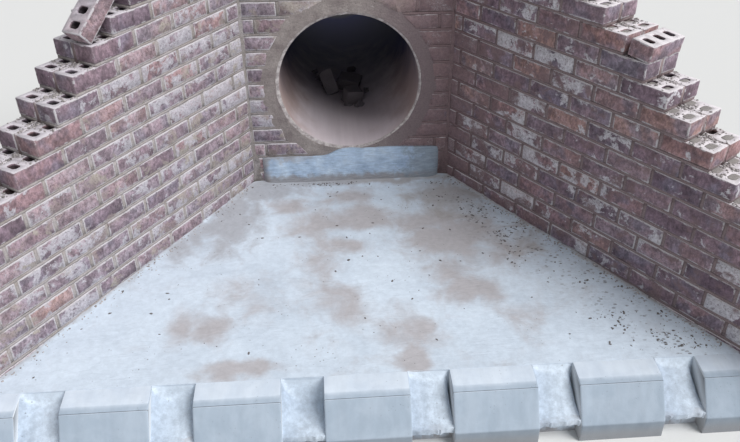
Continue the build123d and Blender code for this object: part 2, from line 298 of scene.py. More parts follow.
def joined(shapes):
    """One list of points and faces from several closed shapes, all facing outward."""
    starts = np.cumsum([0] + [len(points) for points, _ in shapes])
    all_points = np.concatenate([points for points, _ in shapes])
    turned_out = [outward(points, faces) for points, faces in shapes]
    return all_points, [face + start for start, faces in zip(starts, turned_out) for face in faces]


def add_piece(name, points, faces, finish, slot, replaced=(), marks=None, smooth=None):
    """Makes a piece of the points and faces, turned outward, kept in the part's box and riding on it."""
    points = np.clip(np.asarray(points, float).reshape(-1, 3), part_low, part_high)
    faces = outward(points, faces)
    sizes = np.concatenate([np.full(len(face), face.shape[1]) for face in faces])
    corners = np.concatenate([face.ravel() for face in faces])
    mesh = bpy.data.meshes.new(name)
    mesh.vertices.add(len(points))
    mesh.vertices.foreach_set("co", points.astype(np.float32).ravel())
    mesh.loops.add(len(corners))
    mesh.loops.foreach_set("vertex_index", corners.astype(np.int32))
    mesh.polygons.add(len(sizes))
    mesh.polygons.foreach_set("loop_start", (np.cumsum(sizes) - sizes).astype(np.int32))
    mesh.update(calc_edges=True)
    for mark, values in (marks or {}).items():
        flat = np.asarray(values, np.float32)
        kind, field = ("FLOAT", "value") if flat.ndim == 1 else ("FLOAT_VECTOR", "vector")
        mesh.attributes.new(mark, kind, "POINT").data.foreach_set(field, flat.ravel())
    if smooth is not None:
        mesh.shade_smooth()
        mesh.set_sharp_from_angle(angle=math.radians(smooth))
    mesh.materials.append(finish)
    piece = bpy.data.objects.new(name, mesh)
    bpy.context.scene.collection.objects.link(piece)
    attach(piece, "root")
    if replaced:
        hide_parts(*replaced)
    return piece


# Finishes


class Finish:
    """A node material, put together by calls that each add a node and give back its output."""

    def __init__(self, name):
        self.material = bpy.data.materials.new(name)
        self.material.use_nodes = True
        self.tree = self.material.node_tree
        self.shader = self.tree.nodes["Principled BSDF"]
        self.here = self.add("ShaderNodeTexCoord").outputs["Object"]

    def add(self, kind, **settings):
        """A new node of that kind with those settings."""
        node = self.tree.nodes.new(kind)
        for setting, value in settings.items():
            setattr(node, setting, value)
        return node

    def feed(self, socket, value):
        """Gives a socket its value, or a link where the value is another node's output."""
        if isinstance(value, bpy.types.NodeSocket):
            self.tree.links.new(value, socket)
        elif isinstance(value, tuple) and len(value) == 3 and socket.type == "RGBA":
            socket.default_value = (*value, 1)
        else:
            socket.default_value = value

    def mark(self, name, output="Fac"):
        """A mark that the mesh's points carry."""
        return self.add("ShaderNodeAttribute", attribute_name=name).outputs[output]

    def stretched(self, place, scale):
        """The place multiplied along each axis, so that a pattern comes out that much finer there."""
        node = self.add("ShaderNodeMapping")
        self.feed(node.inputs["Vector"], place)
        node.inputs["Scale"].default_value = scale
        return node.outputs["Vector"]

    def noise(self, place, scale, detail=4.0, rough=0.55, twist=0.0):
        """Cloudy pattern about 0.5: clouds to the metre, finer layers and their strength, and a twist."""
        node = self.add("ShaderNodeTexNoise")
        self.feed(node.inputs["Vector"], place)
        settings = {"Scale": scale, "Detail": detail, "Roughness": rough, "Distortion": twist}
        for socket, value in settings.items():
            node.inputs[socket].default_value = value
        return node.outputs["Fac"]

    def streaks(self, place, scales, *settings):
        """Noise with its own number of clouds to the metre along each axis."""
        return self.noise(self.stretched(place, scales), 1.0, *settings)

    def sway(self, *settings):
        """Noise that swings about nothing."""
        return self.minus(self.noise(*settings), 0.5)

    def grains(self, place, scale):
        """Distance to the nearest of scattered points, so many to the metre."""
        node = self.add("ShaderNodeTexVoronoi")
        self.feed(node.inputs["Vector"], place)
        node.inputs["Scale"].default_value = scale
        return node.outputs["Distance"]

    def reckon(self, operation, first, second=0.0):
        """One step of arithmetic on one or two numbers."""
        node = self.add("ShaderNodeMath", operation=operation)
        self.feed(node.inputs[0], first)
        self.feed(node.inputs[1], second)
        return node.outputs[0]

    def plus(self, first, second):
        return self.reckon("ADD", first, second)

    def minus(self, first, second):
        return self.reckon("SUBTRACT", first, second)

    def times(self, first, second):
        return self.reckon("MULTIPLY", first, second)

    def least(self, first, second):
        return self.reckon("MINIMUM", first, second)

    def most(self, first, second):
        return self.reckon("MAXIMUM", first, second)

    def size_of(self, value):
        """The value without its sign."""
        return self.reckon("ABSOLUTE", value)

    def span(self, value, low, high, to_low=0.0, to_high=1.0):
        """Value eased from to_low at low to to_high at high."""
        node = self.add("ShaderNodeMapRange", interpolation_type="SMOOTHSTEP")
        for socket, given in zip(node.inputs, (value, low, high, to_low, to_high)):
            self.feed(socket, given)
        return node.outputs["Result"]

    def colours(self, value, stops):
        """Colour read off a ramp, given as pairs of place and colour."""
        node = self.add("ShaderNodeValToRGB")
        ramp = node.color_ramp
        while len(ramp.elements) < len(stops):
            ramp.elements.new(0.5)
        for element, (place, colour) in zip(ramp.elements, stops):
            element.position = place
            element.color = (*colour, 1)
        self.feed(node.inputs["Fac"], value)
        return node.outputs["Color"]

    def mix(self, share, first, second, way="MIX"):
        """The first colour at a share of 0 and the second at 1."""
        node = self.add("ShaderNodeMix", data_type="RGBA", blend_type=way)
        self.feed(node.inputs["Factor"], share)
        self.feed(node.inputs["A"], first)
        self.feed(node.inputs["B"], second)
        return next(output for output in node.outputs if output.type == "RGBA")

    def shade(self, colour, value):
        """Colour multiplied by a grey of that value."""
        grey = self.add("ShaderNodeCombineColor")
        for socket in grey.inputs:
            self.feed(socket, value)
        return self.mix(1.0, colour, grey.outputs[0], "MULTIPLY")

    def mottle(self, colour, pattern, low, high, dark, light):
        """Colour shaded by a grey that eases from dark to light as the pattern goes from low to high."""
        return self.shade(colour, self.span(pattern, low, high, dark, light))

    def split(self, vector):
        """The three numbers of a vector."""
        node = self.add("ShaderNodeSeparateXYZ")
        self.feed(node.inputs[0], vector)
        return node.outputs

    def facing(self, axis):
        """How far the surface faces along one axis of the part."""
        return self.split(self.add("ShaderNodeNewGeometry").outputs["Normal"])[axis]

    def faces_up(self, low, high):
        """Nothing where the surface faces up by less than low, and 1 where it does by more than high."""
        return self.span(self.facing("Z"), low, high)

    def along(self, axis):
        """Place along one axis of the part."""
        return self.split(self.here)[axis]

    def done(self, colour, roughness, *reliefs):
        """The finished material, of that colour and roughness. A relief is a pattern and the depth in metres
        of its bump between 0 and 1, and each lies over the one before it."""
        self.feed(self.shader.inputs["Base Color"], colour)
        self.feed(self.shader.inputs["Roughness"], roughness)
        self.shader.inputs["Specular IOR Level"].default_value = 0.3
        under = self.shader.inputs["Normal"]
        for pattern, depth in reversed(reliefs):
            node = self.add("ShaderNodeBump")
            node.inputs["Distance"].default_value = depth
            node.inputs["Strength"].default_value = 1.0
            self.feed(node.inputs["Height"], pattern)
            self.feed(under, node.outputs["Normal"])
            under = node.inputs["Normal"]
        return self.material


plum = (0.165, 0.116, 0.150)
mauve = (0.245, 0.172, 0.205)
brown_red = (0.320, 0.196, 0.196)
orange_red = (0.400, 0.250, 0.210)
slate_blue = (0.195, 0.178, 0.235)
lime_film = (0.655, 0.640, 0.680)
grey_film = (0.500, 0.480, 0.525)
brick_dust = (0.455, 0.400, 0.440)
bed_dust = (0.775, 0.730, 0.755)
dim_bed_dust = (0.640, 0.600, 0.640)
khaki_mortar = (0.345, 0.308, 0.290)
grey_mortar = (0.420, 0.385, 0.385)
brown_mortar = (0.285, 0.222, 0.226)
# Dark red-brown of mud smears, partly painted shade for the right-hand side.
red_mud_and_shade = (0.225, 0.155, 0.162)


def fired_brick():
    """Clay in plum to brown tones, flashed blue in places, with dust, smears of pale film and brown mortar,
    pale worn arrises and a pale bed face. To the right the mortar smears take a red-brown that is partly
    painted shade, and the holes darken with depth as painted shade. A brick's own marks give its tone, how
    much it carries of each, and the distance to its nearest arris, which is the middle one of a point's
    distances to the brick's three faces."""
    f = Finish("fired_brick")
    grain = f.mark("laid_at", "Vector")
    own = f.split(f.mark("to_centre", "Vector"))
    half = f.split(f.mark("half_size", "Vector"))
    reach = [f.minus(half[n], f.size_of(own[n])) for n in range(3)]
    low_pair = f.least(reach[0], reach[1])
    high_pair = f.most(reach[0], reach[1])
    to_arris = f.most(low_pair, f.least(high_pair, reach[2]))
    hole_shade_depth = f.least(low_pair, reach[2])

    fine = f.noise(grain, 260, 3, 0.6)
    dust = f.mark("dust")
    tone = f.plus(f.mark("tone"), f.times(f.sway(grain, 38, 5, 0.6), 0.5))
    body = f.colours(tone, [(0.05, plum), (0.42, mauve), (0.75, brown_red), (1.0, orange_red)])
    body = f.mix(f.span(f.noise(grain, 8, 2), 0.48, 0.64, 0.0, 0.60), body, slate_blue)
    dusty = f.times(dust, f.span(f.noise(grain, 24, 5, 0.65), 0.30, 0.68, 0.35, 1.1))
    body = f.mix(dusty, body, brick_dust)
    drag = f.streaks(grain, (80.0, 70.0, 55.0), 5, 0.74)
    body = f.mottle(body, drag, 0.34, 0.66, 0.68, 1.28)
    body = f.mottle(body, f.noise(grain, 17, 5, 0.62, 0.5), 0.34, 0.64, 0.70, 1.24)

    blotch = f.noise(grain, 12, 6, 0.68, 0.3)
    film = f.span(f.plus(blotch, f.times(f.mark("film"), 0.24)), 0.650, 0.700)
    film = f.times(film, f.span(f.noise(grain, 110, 5, 0.8), 0.36, 0.50, 0.22, 1.0))
    wander = f.times(f.sway(grain, 95, 4, 0.6), 0.010)
    arris = f.span(f.plus(to_arris, wander), 0.0080, 0.0045)
    worn = f.span(f.plus(f.noise(grain, 21, 3), f.times(dust, 0.50)), 0.55, 0.62, 0.10, 1.0)
    edges = f.times(arris, worn)
    pale = f.most(film, edges)
    haze = f.mix(f.span(f.along("X"), -0.3, 0.3), grey_film, lime_film)
    haze = f.mottle(haze, f.noise(grain, 70, 5, 0.75), 0.30, 0.70, 0.78, 1.22)
    colour = f.mix(f.times(film, 0.88), body, haze)
    coat = f.mix(f.noise(grain, 15, 3), lime_film, grey_mortar)
    colour = f.mix(f.times(edges, 0.95), colour, coat)
    mud = f.mark("mud")
    smear = f.plus(f.noise(f.here, 10, 6, 0.66, 0.4), f.times(mud, 0.28))
    smear = f.times(f.span(smear, 0.62, 0.72), f.span(fine, 0.30, 0.55, 0.55, 0.95))
    khaki = f.mix(f.span(f.noise(f.here, 6, 3), 0.35, 0.60), brown_mortar, (0.385, 0.345, 0.305))
    # Red-brown to the right: the smears' own colour, partly painted shade where the right wing shades the
    # wall.
    earth = f.mix(f.span(f.along("X"), -0.05, 0.45), khaki, red_mud_and_shade)
    colour = f.mix(smear, colour, f.mottle(earth, f.noise(f.here, 60, 5, 0.7), 0.3, 0.7, 0.78, 1.18))
    pits = f.span(f.noise(grain, 135, 4, 0.75), 0.55, 0.64, 1.0, f.span(dust, 0.05, 0.40, 0.82, 0.50))
    colour = f.shade(colour, pits)
    below_bed = f.minus(half[2], own[2])
    bed_face = f.times(f.span(below_bed, 0.0024, 0.0010), f.mark("bed"))
    bed_face = f.times(bed_face, f.span(f.noise(grain, 34, 5, 0.7), 0.28, 0.46, 0.45, 0.97))
    on_bed = f.mix(f.span(f.along("X"), -0.4, 0.3), dim_bed_dust, bed_dust)
    colour = f.mix(bed_face, colour, f.mottle(on_bed, fine, 0.25, 0.75, 0.84, 1.08))
    # Painted shade: darker deeper into the holes.
    colour = f.mottle(colour, hole_shade_depth, 0.002, 0.011, 1.0, 0.15)

    return f.done(colour, f.span(fine, 0.2, 0.8, 0.78, 0.95),
                  (f.noise(grain, 480, 2, 0.7), 0.0006), (drag, 0.0026), (f.times(pale, fine), 0.0012))


def bed_mortar():
    """Khaki cement mortar, sandy, with paler lime-rich patches and dark pits, browner to the right and
    darker towards the headwall. Painted shade darkens it under the bricks and in the corner fillets, in
    red-brown in the right inner corner.
    """
    f = Finish("bed_mortar")
    patches = f.noise(f.here, 14, 4, 0.6)
    colour = f.mix(f.span(patches, 0.35, 0.65), khaki_mortar, grey_mortar)
    colour = f.mix(f.span(f.along("X"), 0.10, 0.60), colour, brown_mortar)
    colour = f.mottle(colour, f.along("Y"), -0.45, -0.05, 1.0, 0.80)
    # Painted shade in the right inner corner.
    shaded = f.times(f.span(f.along("Y"), -0.30, -0.05), f.span(f.along("X"), 0.0, 0.4))
    colour = f.mix(f.times(shaded, 0.85), colour, red_mud_and_shade)
    colour = f.mottle(colour, f.noise(f.here, 210, 4, 0.7), 0.25, 0.75, 0.72, 1.18)
    # Painted shade under the bricks and in the corner fillets, from the under mark.
    gap = f.plus(f.mark("under"), f.times(f.sway(f.here, 34, 4), 0.9))
    colour = f.mottle(colour, gap, 0.45, 1.05, 1.0, 0.42)
    pits = f.span(f.grains(f.here, 170), 0.10, 0.22, 0.60, 1.0)
    colour = f.shade(colour, pits)
    return f.done(colour, 0.93,
                  (f.noise(f.here, 600, 2, 0.7), 0.0008), (f.noise(f.here, 95, 4, 0.65), 0.0040))


def surround_mortar():
    """Grey-brown mortar round the pipe, with strokes of the trowel, browner to the right and darkened there
    by painted shade.
    """
    f = Finish("surround_mortar")
    cloud = f.noise(f.here, 7, 5, 0.65)
    colour = f.colours(cloud, [
        (0.32, (0.205, 0.170, 0.170)), (0.52, (0.305, 0.268, 0.256)), (0.72, (0.430, 0.388, 0.366))])
    # Painted shade of the right wing on the headwall's right side, in a redder brown.
    colour = f.mix(f.span(f.along("X"), -0.05, 0.38), colour, (0.205, 0.160, 0.168))
    colour = f.mottle(colour, f.noise(f.here, 130, 4, 0.7), 0.25, 0.75, 0.80, 1.14)
    specks = f.times(f.span(f.grains(f.here, 60), 0.20, 0.10), f.span(f.noise(f.here, 16, 3), 0.48, 0.60))
    colour = f.mottle(colour, specks, 0.0, 1.0, 1.0, 0.45)
    strokes = f.streaks(f.here, (22.0, 22.0, 60.0), 5, 0.65, 0.8)
    return f.done(colour, 0.9, (f.noise(f.here, 300, 3, 0.7), 0.0018), (strokes, 0.0045))


def pipe_concrete():
    """Spun concrete, streaked lengthwise: pale at its rim and along the invert, with painted shade darkening
    it above the invert and deeper inside.
    """
    f = Finish("pipe_concrete")
    depth = f.along("Y")
    above = f.minus(f.along("Z"), pipe_level)
    streak = f.streaks(f.here, (26.0, 1.2, 26.0), 5, 0.6)
    cloud = f.noise(f.here, 6, 4, 0.6)
    clean = f.colours(streak, [
        (0.30, (0.540, 0.480, 0.510)), (0.52, (0.580, 0.516, 0.548)), (0.72, (0.618, 0.552, 0.582))])
    height = f.plus(above, f.times(f.minus(cloud, 0.5), 0.25))
    # Painted shade inside the pipe: darker higher up and deeper in, towards a dark blue.
    painted_shade_above = f.span(f.plus(height, f.times(depth, 0.35)), -0.12, 0.26)
    dark = f.mix(f.span(depth, 0.05, 0.9), (0.110, 0.094, 0.124), (0.008, 0.010, 0.074))
    sides = f.mix(f.span(height, -0.36, -0.15), clean, (0.370, 0.285, 0.270))
    # Painted shade: the inside greys with depth.
    inside = f.mix(painted_shade_above, f.mix(f.span(depth, 0.6, 2.1), sides, (0.140, 0.125, 0.150)), dark)
    # Painted shade closing off the far end.
    inside = f.mix(f.span(depth, 2.30, 2.44), inside, (0.080, 0.075, 0.080))
    outside = f.mix(f.noise(f.here, 12, 4), (0.36, 0.34, 0.34), (0.46, 0.44, 0.43))
    colour = f.mix(f.mark("bore"), outside, inside)
    rim = f.span(f.plus(depth, f.times(f.noise(f.here, 70, 4), 0.006)), 0.014, 0.007)
    rim_cloud = f.span(f.noise(f.here, 38, 5, 0.7), 0.35, 0.65)
    colour = f.mix(rim, colour, f.mix(rim_cloud, (0.27, 0.235, 0.235), (0.56, 0.52, 0.51)))
    return f.done(colour, 0.86,
                  (f.noise(f.here, 300, 3, 0.7), 0.0006), (f.noise(f.here, 40, 4, 0.6), 0.0020))


def apron_concrete():
    """Pale floated concrete with clouds of beige silt, trowel sweeps, grey mortar film and pin holes.
    The spouts carry painted shade that greys them, most at their left, and a rougher mottle."""
    f = Finish("apron_concrete")
    cloud = f.noise(f.here, 3.2, 5, 0.6, 0.4)
    colour = f.colours(cloud, [
        (0.30, (0.545, 0.622, 0.715)), (0.50, (0.612, 0.695, 0.792)), (0.70, (0.655, 0.742, 0.840))])
    ragged = f.sway(f.here, 6.5, 7, 0.62, 0.6)
    silt = f.span(f.plus(f.mark("silt"), f.times(ragged, 1.1)), 0.13, 0.72)
    brown = f.mix(f.noise(f.here, 4, 4), (0.395, 0.372, 0.382), (0.490, 0.468, 0.485))
    colour = f.mix(f.times(silt, 0.9), colour, brown)
    daub = f.span(f.plus(f.mark("daub"), f.times(ragged, 1.4)), 0.25, 0.80)
    grey = f.mix(f.span(f.along("X"), -0.2, 0.2), (0.370, 0.372, 0.400), (0.385, 0.362, 0.360))
    colour = f.mix(f.times(daub, 0.80), colour, grey)
    colour = f.mottle(colour, f.noise(f.here, 34, 6, 0.7), 0.25, 0.75, 0.90, 1.06)
    pins = f.times(f.span(f.grains(f.here, 42), 0.16, 0.08), f.span(f.noise(f.here, 6, 3), 0.56, 0.66))
    colour = f.mix(f.times(pins, 0.7), colour, (0.16, 0.15, 0.15))
    flecks = f.grains(f.stretched(f.here, (30.0, 56.0, 56.0)), 1.0)
    specks = f.times(f.span(flecks, 0.34, 0.20), f.span(f.noise(f.here, 18, 4), 0.42, 0.56))
    specks = f.times(specks, f.mark("dirt"))
    colour = f.mix(f.times(specks, 0.8), colour, (0.13, 0.12, 0.125))
    # Painted shade: the spouts are greyed, most at their left, to even out the sunlight on them.
    in_spout = f.mark("spout")
    painted_spout_shade = f.mix(1.0, colour, (0.70, 0.725, 0.765), "MULTIPLY")
    colour = f.mix(f.span(in_spout, 0.4, 1.0), colour, painted_spout_shade)
    rougher = f.mottle(colour, f.noise(f.here, 34, 6, 0.75), 0.30, 0.70, 0.88, 1.08)
    colour = f.mix(f.span(in_spout, 0.0, 0.3), colour, rougher)
    sweeps = f.streaks(f.here, (9.0, 26.0, 9.0), 4, 0.55, 1.5)
    return f.done(colour, f.span(cloud, 0.3, 0.7, 0.62, 0.82),
                  (f.noise(f.here, 260, 3, 0.7), 0.0006), (sweeps, 0.0030))


def kerb_concrete():
    """Smooth precast concrete, cloudy, with pores and drips. Painted light makes it almost white on top,
    blue-grey on the face and paler on the end faces; painted shade darkens the groove; low down it is
    darker and browner.
    """
    f = Finish("kerb_concrete")
    cloud = f.noise(f.here, 9, 5, 0.6, 0.3)
    face = f.mix(f.span(cloud, 0.35, 0.65), (0.350, 0.420, 0.502), (0.405, 0.475, 0.560))
    top = f.mix(f.span(cloud, 0.35, 0.65), (0.592, 0.668, 0.765), (0.662, 0.735, 0.822))
    # Painted light: the upward faces are painted almost white, the face blue-grey.
    colour = f.mix(f.faces_up(0.930, 0.988), face, top)
    # Painted light on the end faces, which face away from the sun.
    colour = f.mix(f.span(f.size_of(f.facing("X")), 0.80, 0.95), colour, (0.700, 0.740, 0.780))
    colour = f.mottle(colour, f.along("Z"), 0.092, 0.080, 1.0, 0.70)
    colour = f.mottle(colour, f.along("X"), 0.80, 1.05, 1.0, 0.94)
    drips = f.streaks(f.here, (34.0, 10.0, 7.0), 4, 0.55)
    colour = f.mottle(colour, drips, 0.30, 0.70, 0.96, 1.03)
    # Painted shade in the groove at the foot of the bevel.
    colour = f.mix(f.times(f.mark("crease"), 0.8), colour, (0.120, 0.130, 0.150))
    pores = f.times(f.span(f.grains(f.here, 75), 0.15, 0.07), f.span(f.noise(f.here, 12, 3), 0.50, 0.60))
    colour = f.mix(f.times(pores, 0.6), colour, (0.20, 0.20, 0.21))
    low = f.span(f.along("Z"), 0.085, 0.02)
    colour = f.mix(f.times(low, 0.5), colour, (0.33, 0.31, 0.30))
    return f.done(colour, 0.68,
                  (f.noise(f.here, 330, 3, 0.7), 0.0004), (f.times(pores, -1.0), 0.0010), (cloud, 0.0012))


def sill_concrete():
    """Pale blue concrete, smeared with grey mortar from above and darker along its foot."""
    f = Finish("sill_concrete")
    cloud = f.noise(f.here, 11, 5, 0.6)
    colour = f.colours(cloud, [
        (0.32, (0.325, 0.425, 0.575)), (0.52, (0.435, 0.552, 0.705)), (0.70, (0.555, 0.660, 0.780))])
    ragged = f.sway(f.here, 22, 5, 0.65, 0.5)
    level = f.along("Z")
    across = f.along("X")
    foot = f.span(f.plus(level, f.times(ragged, 0.10)), 0.378, 0.342)
    colour = f.mix(f.times(foot, 0.85), colour, (0.285, 0.272, 0.275))
    left_smear = f.span(f.plus(across, f.times(ragged, 0.5)), -0.12, -0.34)
    smear = f.times(left_smear, f.span(f.plus(level, f.times(ragged, 0.12)), 0.43, 0.475))
    right_smear = f.span(f.plus(across, f.times(ragged, 0.6)), 0.27, 0.40)
    ends = f.span(f.plus(f.size_of(across), f.times(ragged, 0.14)), 0.450, 0.492, 0.0, 1.1)
    smear = f.most(f.most(smear, right_smear), ends)
    patch = f.mix(f.span(across, 0.0, 0.3), (0.340, 0.320, 0.320), (0.250, 0.292, 0.340))
    colour = f.mix(f.least(f.times(smear, 0.72), 1.0), colour, patch)
    streaks = f.streaks(f.here, (20.0, 30.0, 130.0), 5, 0.7)
    colour = f.mottle(colour, streaks, 0.30, 0.70, 0.82, 1.14)
    return f.done(colour, 0.82,
                  (f.noise(f.here, 300, 3, 0.7), 0.0008),
                  (f.streaks(f.here, (18.0, 30.0, 50.0), 4, 0.6), 0.0040))


def dark_grit():
    """Dark grains of dried mortar and earth."""
    f = Finish("dark_grit")
    colour = f.mix(f.noise(f.here, 60, 3), (0.085, 0.080, 0.082), (0.22, 0.205, 0.20))
    return f.done(colour, 0.95, (f.noise(f.here, 700, 2), 0.0008))


def mortar_crumbs():
    """Dried crumbs of mortar, paler than the joints."""
    f = Finish("mortar_crumbs")
    colour = f.colours(f.noise(f.here, 75, 3, 0.6), [
        (0.32, (0.110, 0.100, 0.102)), (0.50, (0.360, 0.330, 0.325)), (0.66, (0.620, 0.580, 0.575))])
    colour = f.mottle(colour, f.noise(f.here, 260, 3, 0.7), 0.25, 0.75, 0.75, 1.12)
    return f.done(colour, 0.94, (f.noise(f.here, 420, 3, 0.7), 0.0012))


def hole_mortar():
    """Sandy mortar pressed into holes, grey-tan and darker than the bed faces round it, with painted shade
    darkening the deep plugs of the left wing.
    """
    f = Finish("hole_mortar")
    colour = f.mix(f.noise(f.here, 60, 4, 0.6), (0.215, 0.197, 0.190), (0.410, 0.382, 0.368))
    colour = f.mottle(colour, f.noise(f.here, 320, 3, 0.7), 0.25, 0.75, 0.65, 1.25)
    # Painted shade on the left wing's plugs, which lie deep in their holes.
    colour = f.mottle(colour, f.along("X"), -0.3, 0.3, 0.50, 1.0)
    return f.done(colour, 0.94, (f.noise(f.here, 300, 3, 0.7), 0.0020))


def leaf_seam():
    """Mortar between the leaves: pale with bed dust on top, the bricks' own brown at its ends."""
    f = Finish("leaf_seam")
    colour = f.mix(f.noise(f.here, 30, 4, 0.6), (0.220, 0.160, 0.170), (0.340, 0.275, 0.270))
    dusted = f.times(f.faces_up(0.6, 0.9), f.span(f.noise(f.here, 55, 5, 0.7), 0.36, 0.52, 0.25, 0.90))
    colour = f.mix(dusted, colour, bed_dust)
    colour = f.mottle(colour, f.noise(f.here, 300, 3, 0.7), 0.25, 0.75, 0.80, 1.12)
    return f.done(colour, 0.93, (f.noise(f.here, 260, 4, 0.7), 0.0020))


def damp_rubble():
    """Damp broken mortar and brick."""
    f = Finish("damp_rubble")
    colour = f.mix(f.noise(f.here, 14, 4), (0.105, 0.096, 0.112), (0.215, 0.192, 0.200))
    return f.done(colour, 0.92, (f.noise(f.here, 90, 4, 0.65), 0.006))


brick_finish = fired_brick()
mortar_finish = bed_mortar()
surround_finish = surround_mortar()
pipe_finish = pipe_concrete()
apron_finish = apron_concrete()
kerb_finish = kerb_concrete()
sill_finish = sill_concrete()
grit_finish = dark_grit()
crumb_finish = mortar_crumbs()
hole_finish = hole_mortar()
seam_finish = leaf_seam()
rubble_finish = damp_rubble()

# Bricks


def worn_rings(half, shares, draws, random):
    """Rings of eight points along bricks, about their centres. A ring is the rectangle of the brick's width
    and height, each arris cut back by 1.5 mm and a random bit more, now and then by a chip. A ring stands
    at its share of the half length, and the end rings are drawn in as far as their neighbours stand off
    them."""
    count, rings = len(half), len(shares)
    cut = 0.0015 + 0.0025 * random.random((count, rings, 4)) ** 2
    chipped = (random.random((count, rings, 4)) > 0.95) & (np.abs(shares) < 1)[None, :, None]
    cut += 0.007 * random.random((count, rings, 4)) * chipped
    end_cut = 0.0015 + 0.0015 * random.random((count, 1))
    drawn_in = np.where(np.abs(draws) > 0, 0.0, 1.0) * (np.abs(shares) == 1) * end_cut
    corner = np.array([0, 0, 1, 1, 2, 2, 3, 3])
    on_side = np.array([1, 0, 0, 1, 1, 0, 0, 1])
    across_sign = np.array([1, -1, -1, 1])[corner]
    up_sign = np.array([1, 1, -1, -1])[corner]
    cut = cut[:, :, corner]
    across = across_sign * (half[:, 1, None, None] - drawn_in[:, :, None] - cut * (1 - on_side))
    height = up_sign * (half[:, 2, None, None] - drawn_in[:, :, None] - cut * on_side)
    along = half[:, :1] * shares + end_cut * draws
    return in_threes(along[:, :, None], across, height)


plain_shares = np.array([-1, -1, -0.5, 0, 0.5, 1, 1])
plain_draws = np.array([0, 1, 0, 0, 0, -1, 0])
holed_share = hole_pitch / brick_length
holed_shares = np.array([-1, -1, -holed_share, holed_share, 1, 1])
holed_draws = np.array([0, 1, 0, 0, -1, 0])


def hole_outline(grow):
    """Eight points round an oblong hole with cut corners, anticlockwise from above, grown by a bit."""
    wide, long = hole_half_width + grow, hole_half_length + grow
    wide_flat, long_flat = wide - hole_corner, long - hole_corner
    return np.array([
        (-wide_flat, long), (-wide, long_flat), (-wide, -long_flat), (-wide_flat, -long),
        (wide_flat, -long), (wide, -long_flat), (wide, long_flat), (wide_flat, long),
    ])


def hole_points(count, top):
    """For each brick, three holes a pitch apart, each as a rim, a throat 3 mm down and a floor."""
    levels = ((0.0012, top), (0.0, top - 0.003), (-0.0006, top - hole_depth))
    rings = [np.column_stack([hole_outline(grow), np.full(8, level)]) for grow, level in levels]
    one = np.concatenate(rings)
    three = np.concatenate([one + (place * hole_pitch, 0, 0) for place in (-1, 0, 1)])
    return np.broadcast_to(three, (count, *three.shape))


def holed_bricks(half, random):
    """Points of bricks whose holes show, about their centres: their worn rings, then their holes."""
    rings = worn_rings(half, holed_shares, holed_draws, random).reshape(len(half), -1, 3)
    return np.concatenate([rings, hole_points(len(half), brick_height / 2)], axis=1)


def holed_faces():
    """A brick's faces with its three top quads opened round the holes, and the holes' walls and floors."""
    around = 8
    quads, first, last = tube_faces(len(holed_shares), around)
    sides = np.delete(quads, [ring * around + 1 for ring in (1, 2, 3)], axis=0)
    fours, threes, floors = [sides], [], []
    for hole, ring in enumerate((1, 2, 3)):
        a, b = ring * around + 1, ring * around + 2
        c, d = b + around, a + around
        rim = len(holed_shares) * around + hole * 3 * around + np.arange(around)
        throat, floor = rim + around, rim + 2 * around
        fours.append([
            (a, b, rim[2], rim[1]), (b, c, rim[4], rim[3]), (c, d, rim[6], rim[5]), (d, a, rim[0], rim[7])])
        threes.extend([(b, rim[3], rim[2]), (c, rim[5], rim[4]), (d, rim[7], rim[6]), (a, rim[1], rim[0])])
        for upper, lower in ((rim, throat), (throat, floor)):
            fours.append(np.stack([upper, np.roll(upper, -1), np.roll(lower, -1), lower], -1))
        floors.append(floor)
    return [np.concatenate(fours), np.array(threes), np.array(floors), first, last]


class Bricks:
    """Bricks gathered for one piece. Each row holds where a brick starts and ends along its wall, how much
    either end shifts for each metre behind the face, its near and far sides, its bottom and top, and its
    looks: how much pale film, dust and brown mortar it carries."""

    def __init__(self):
        self.plain = []
        self.holed = []

    def lay(self, placed, near, low, looks, holed):
        row = (*placed, near, near + brick_width, low, low + brick_height, *looks)
        (self.holed if holed else self.plain).append(row)


def brick_marks(own, half, laid_at, **each):
    """Marks of bricks' points: the place from the brick's centre, its half size, where the fired clay's
    grain is read, and the numbers given once a brick, spread over its points."""
    marks = {"to_centre": own, "half_size": np.broadcast_to(half[:, None], own.shape), "laid_at": laid_at}
    flat = {name: value.reshape(-1, 3) for name, value in marks.items()}
    for name, values in each.items():
        flat[name] = np.repeat(np.broadcast_to(values, len(own)), own.shape[1])
    return flat


def turn_about(spots, random):
    """Each brick turned a little about its three axes and shifted a little, by normal random amounts."""
    roll, pitch, yaw = random.normal(0, brick_tilt, (3, len(spots), 1))
    along, across, height = spots[..., 0], spots[..., 1], spots[..., 2]
    shift = random.normal(0, brick_stray, (len(spots), 1))
    new_across = across + yaw * along - roll * height + shift
    return in_threes(along, new_across, height + pitch * along + roll * across)


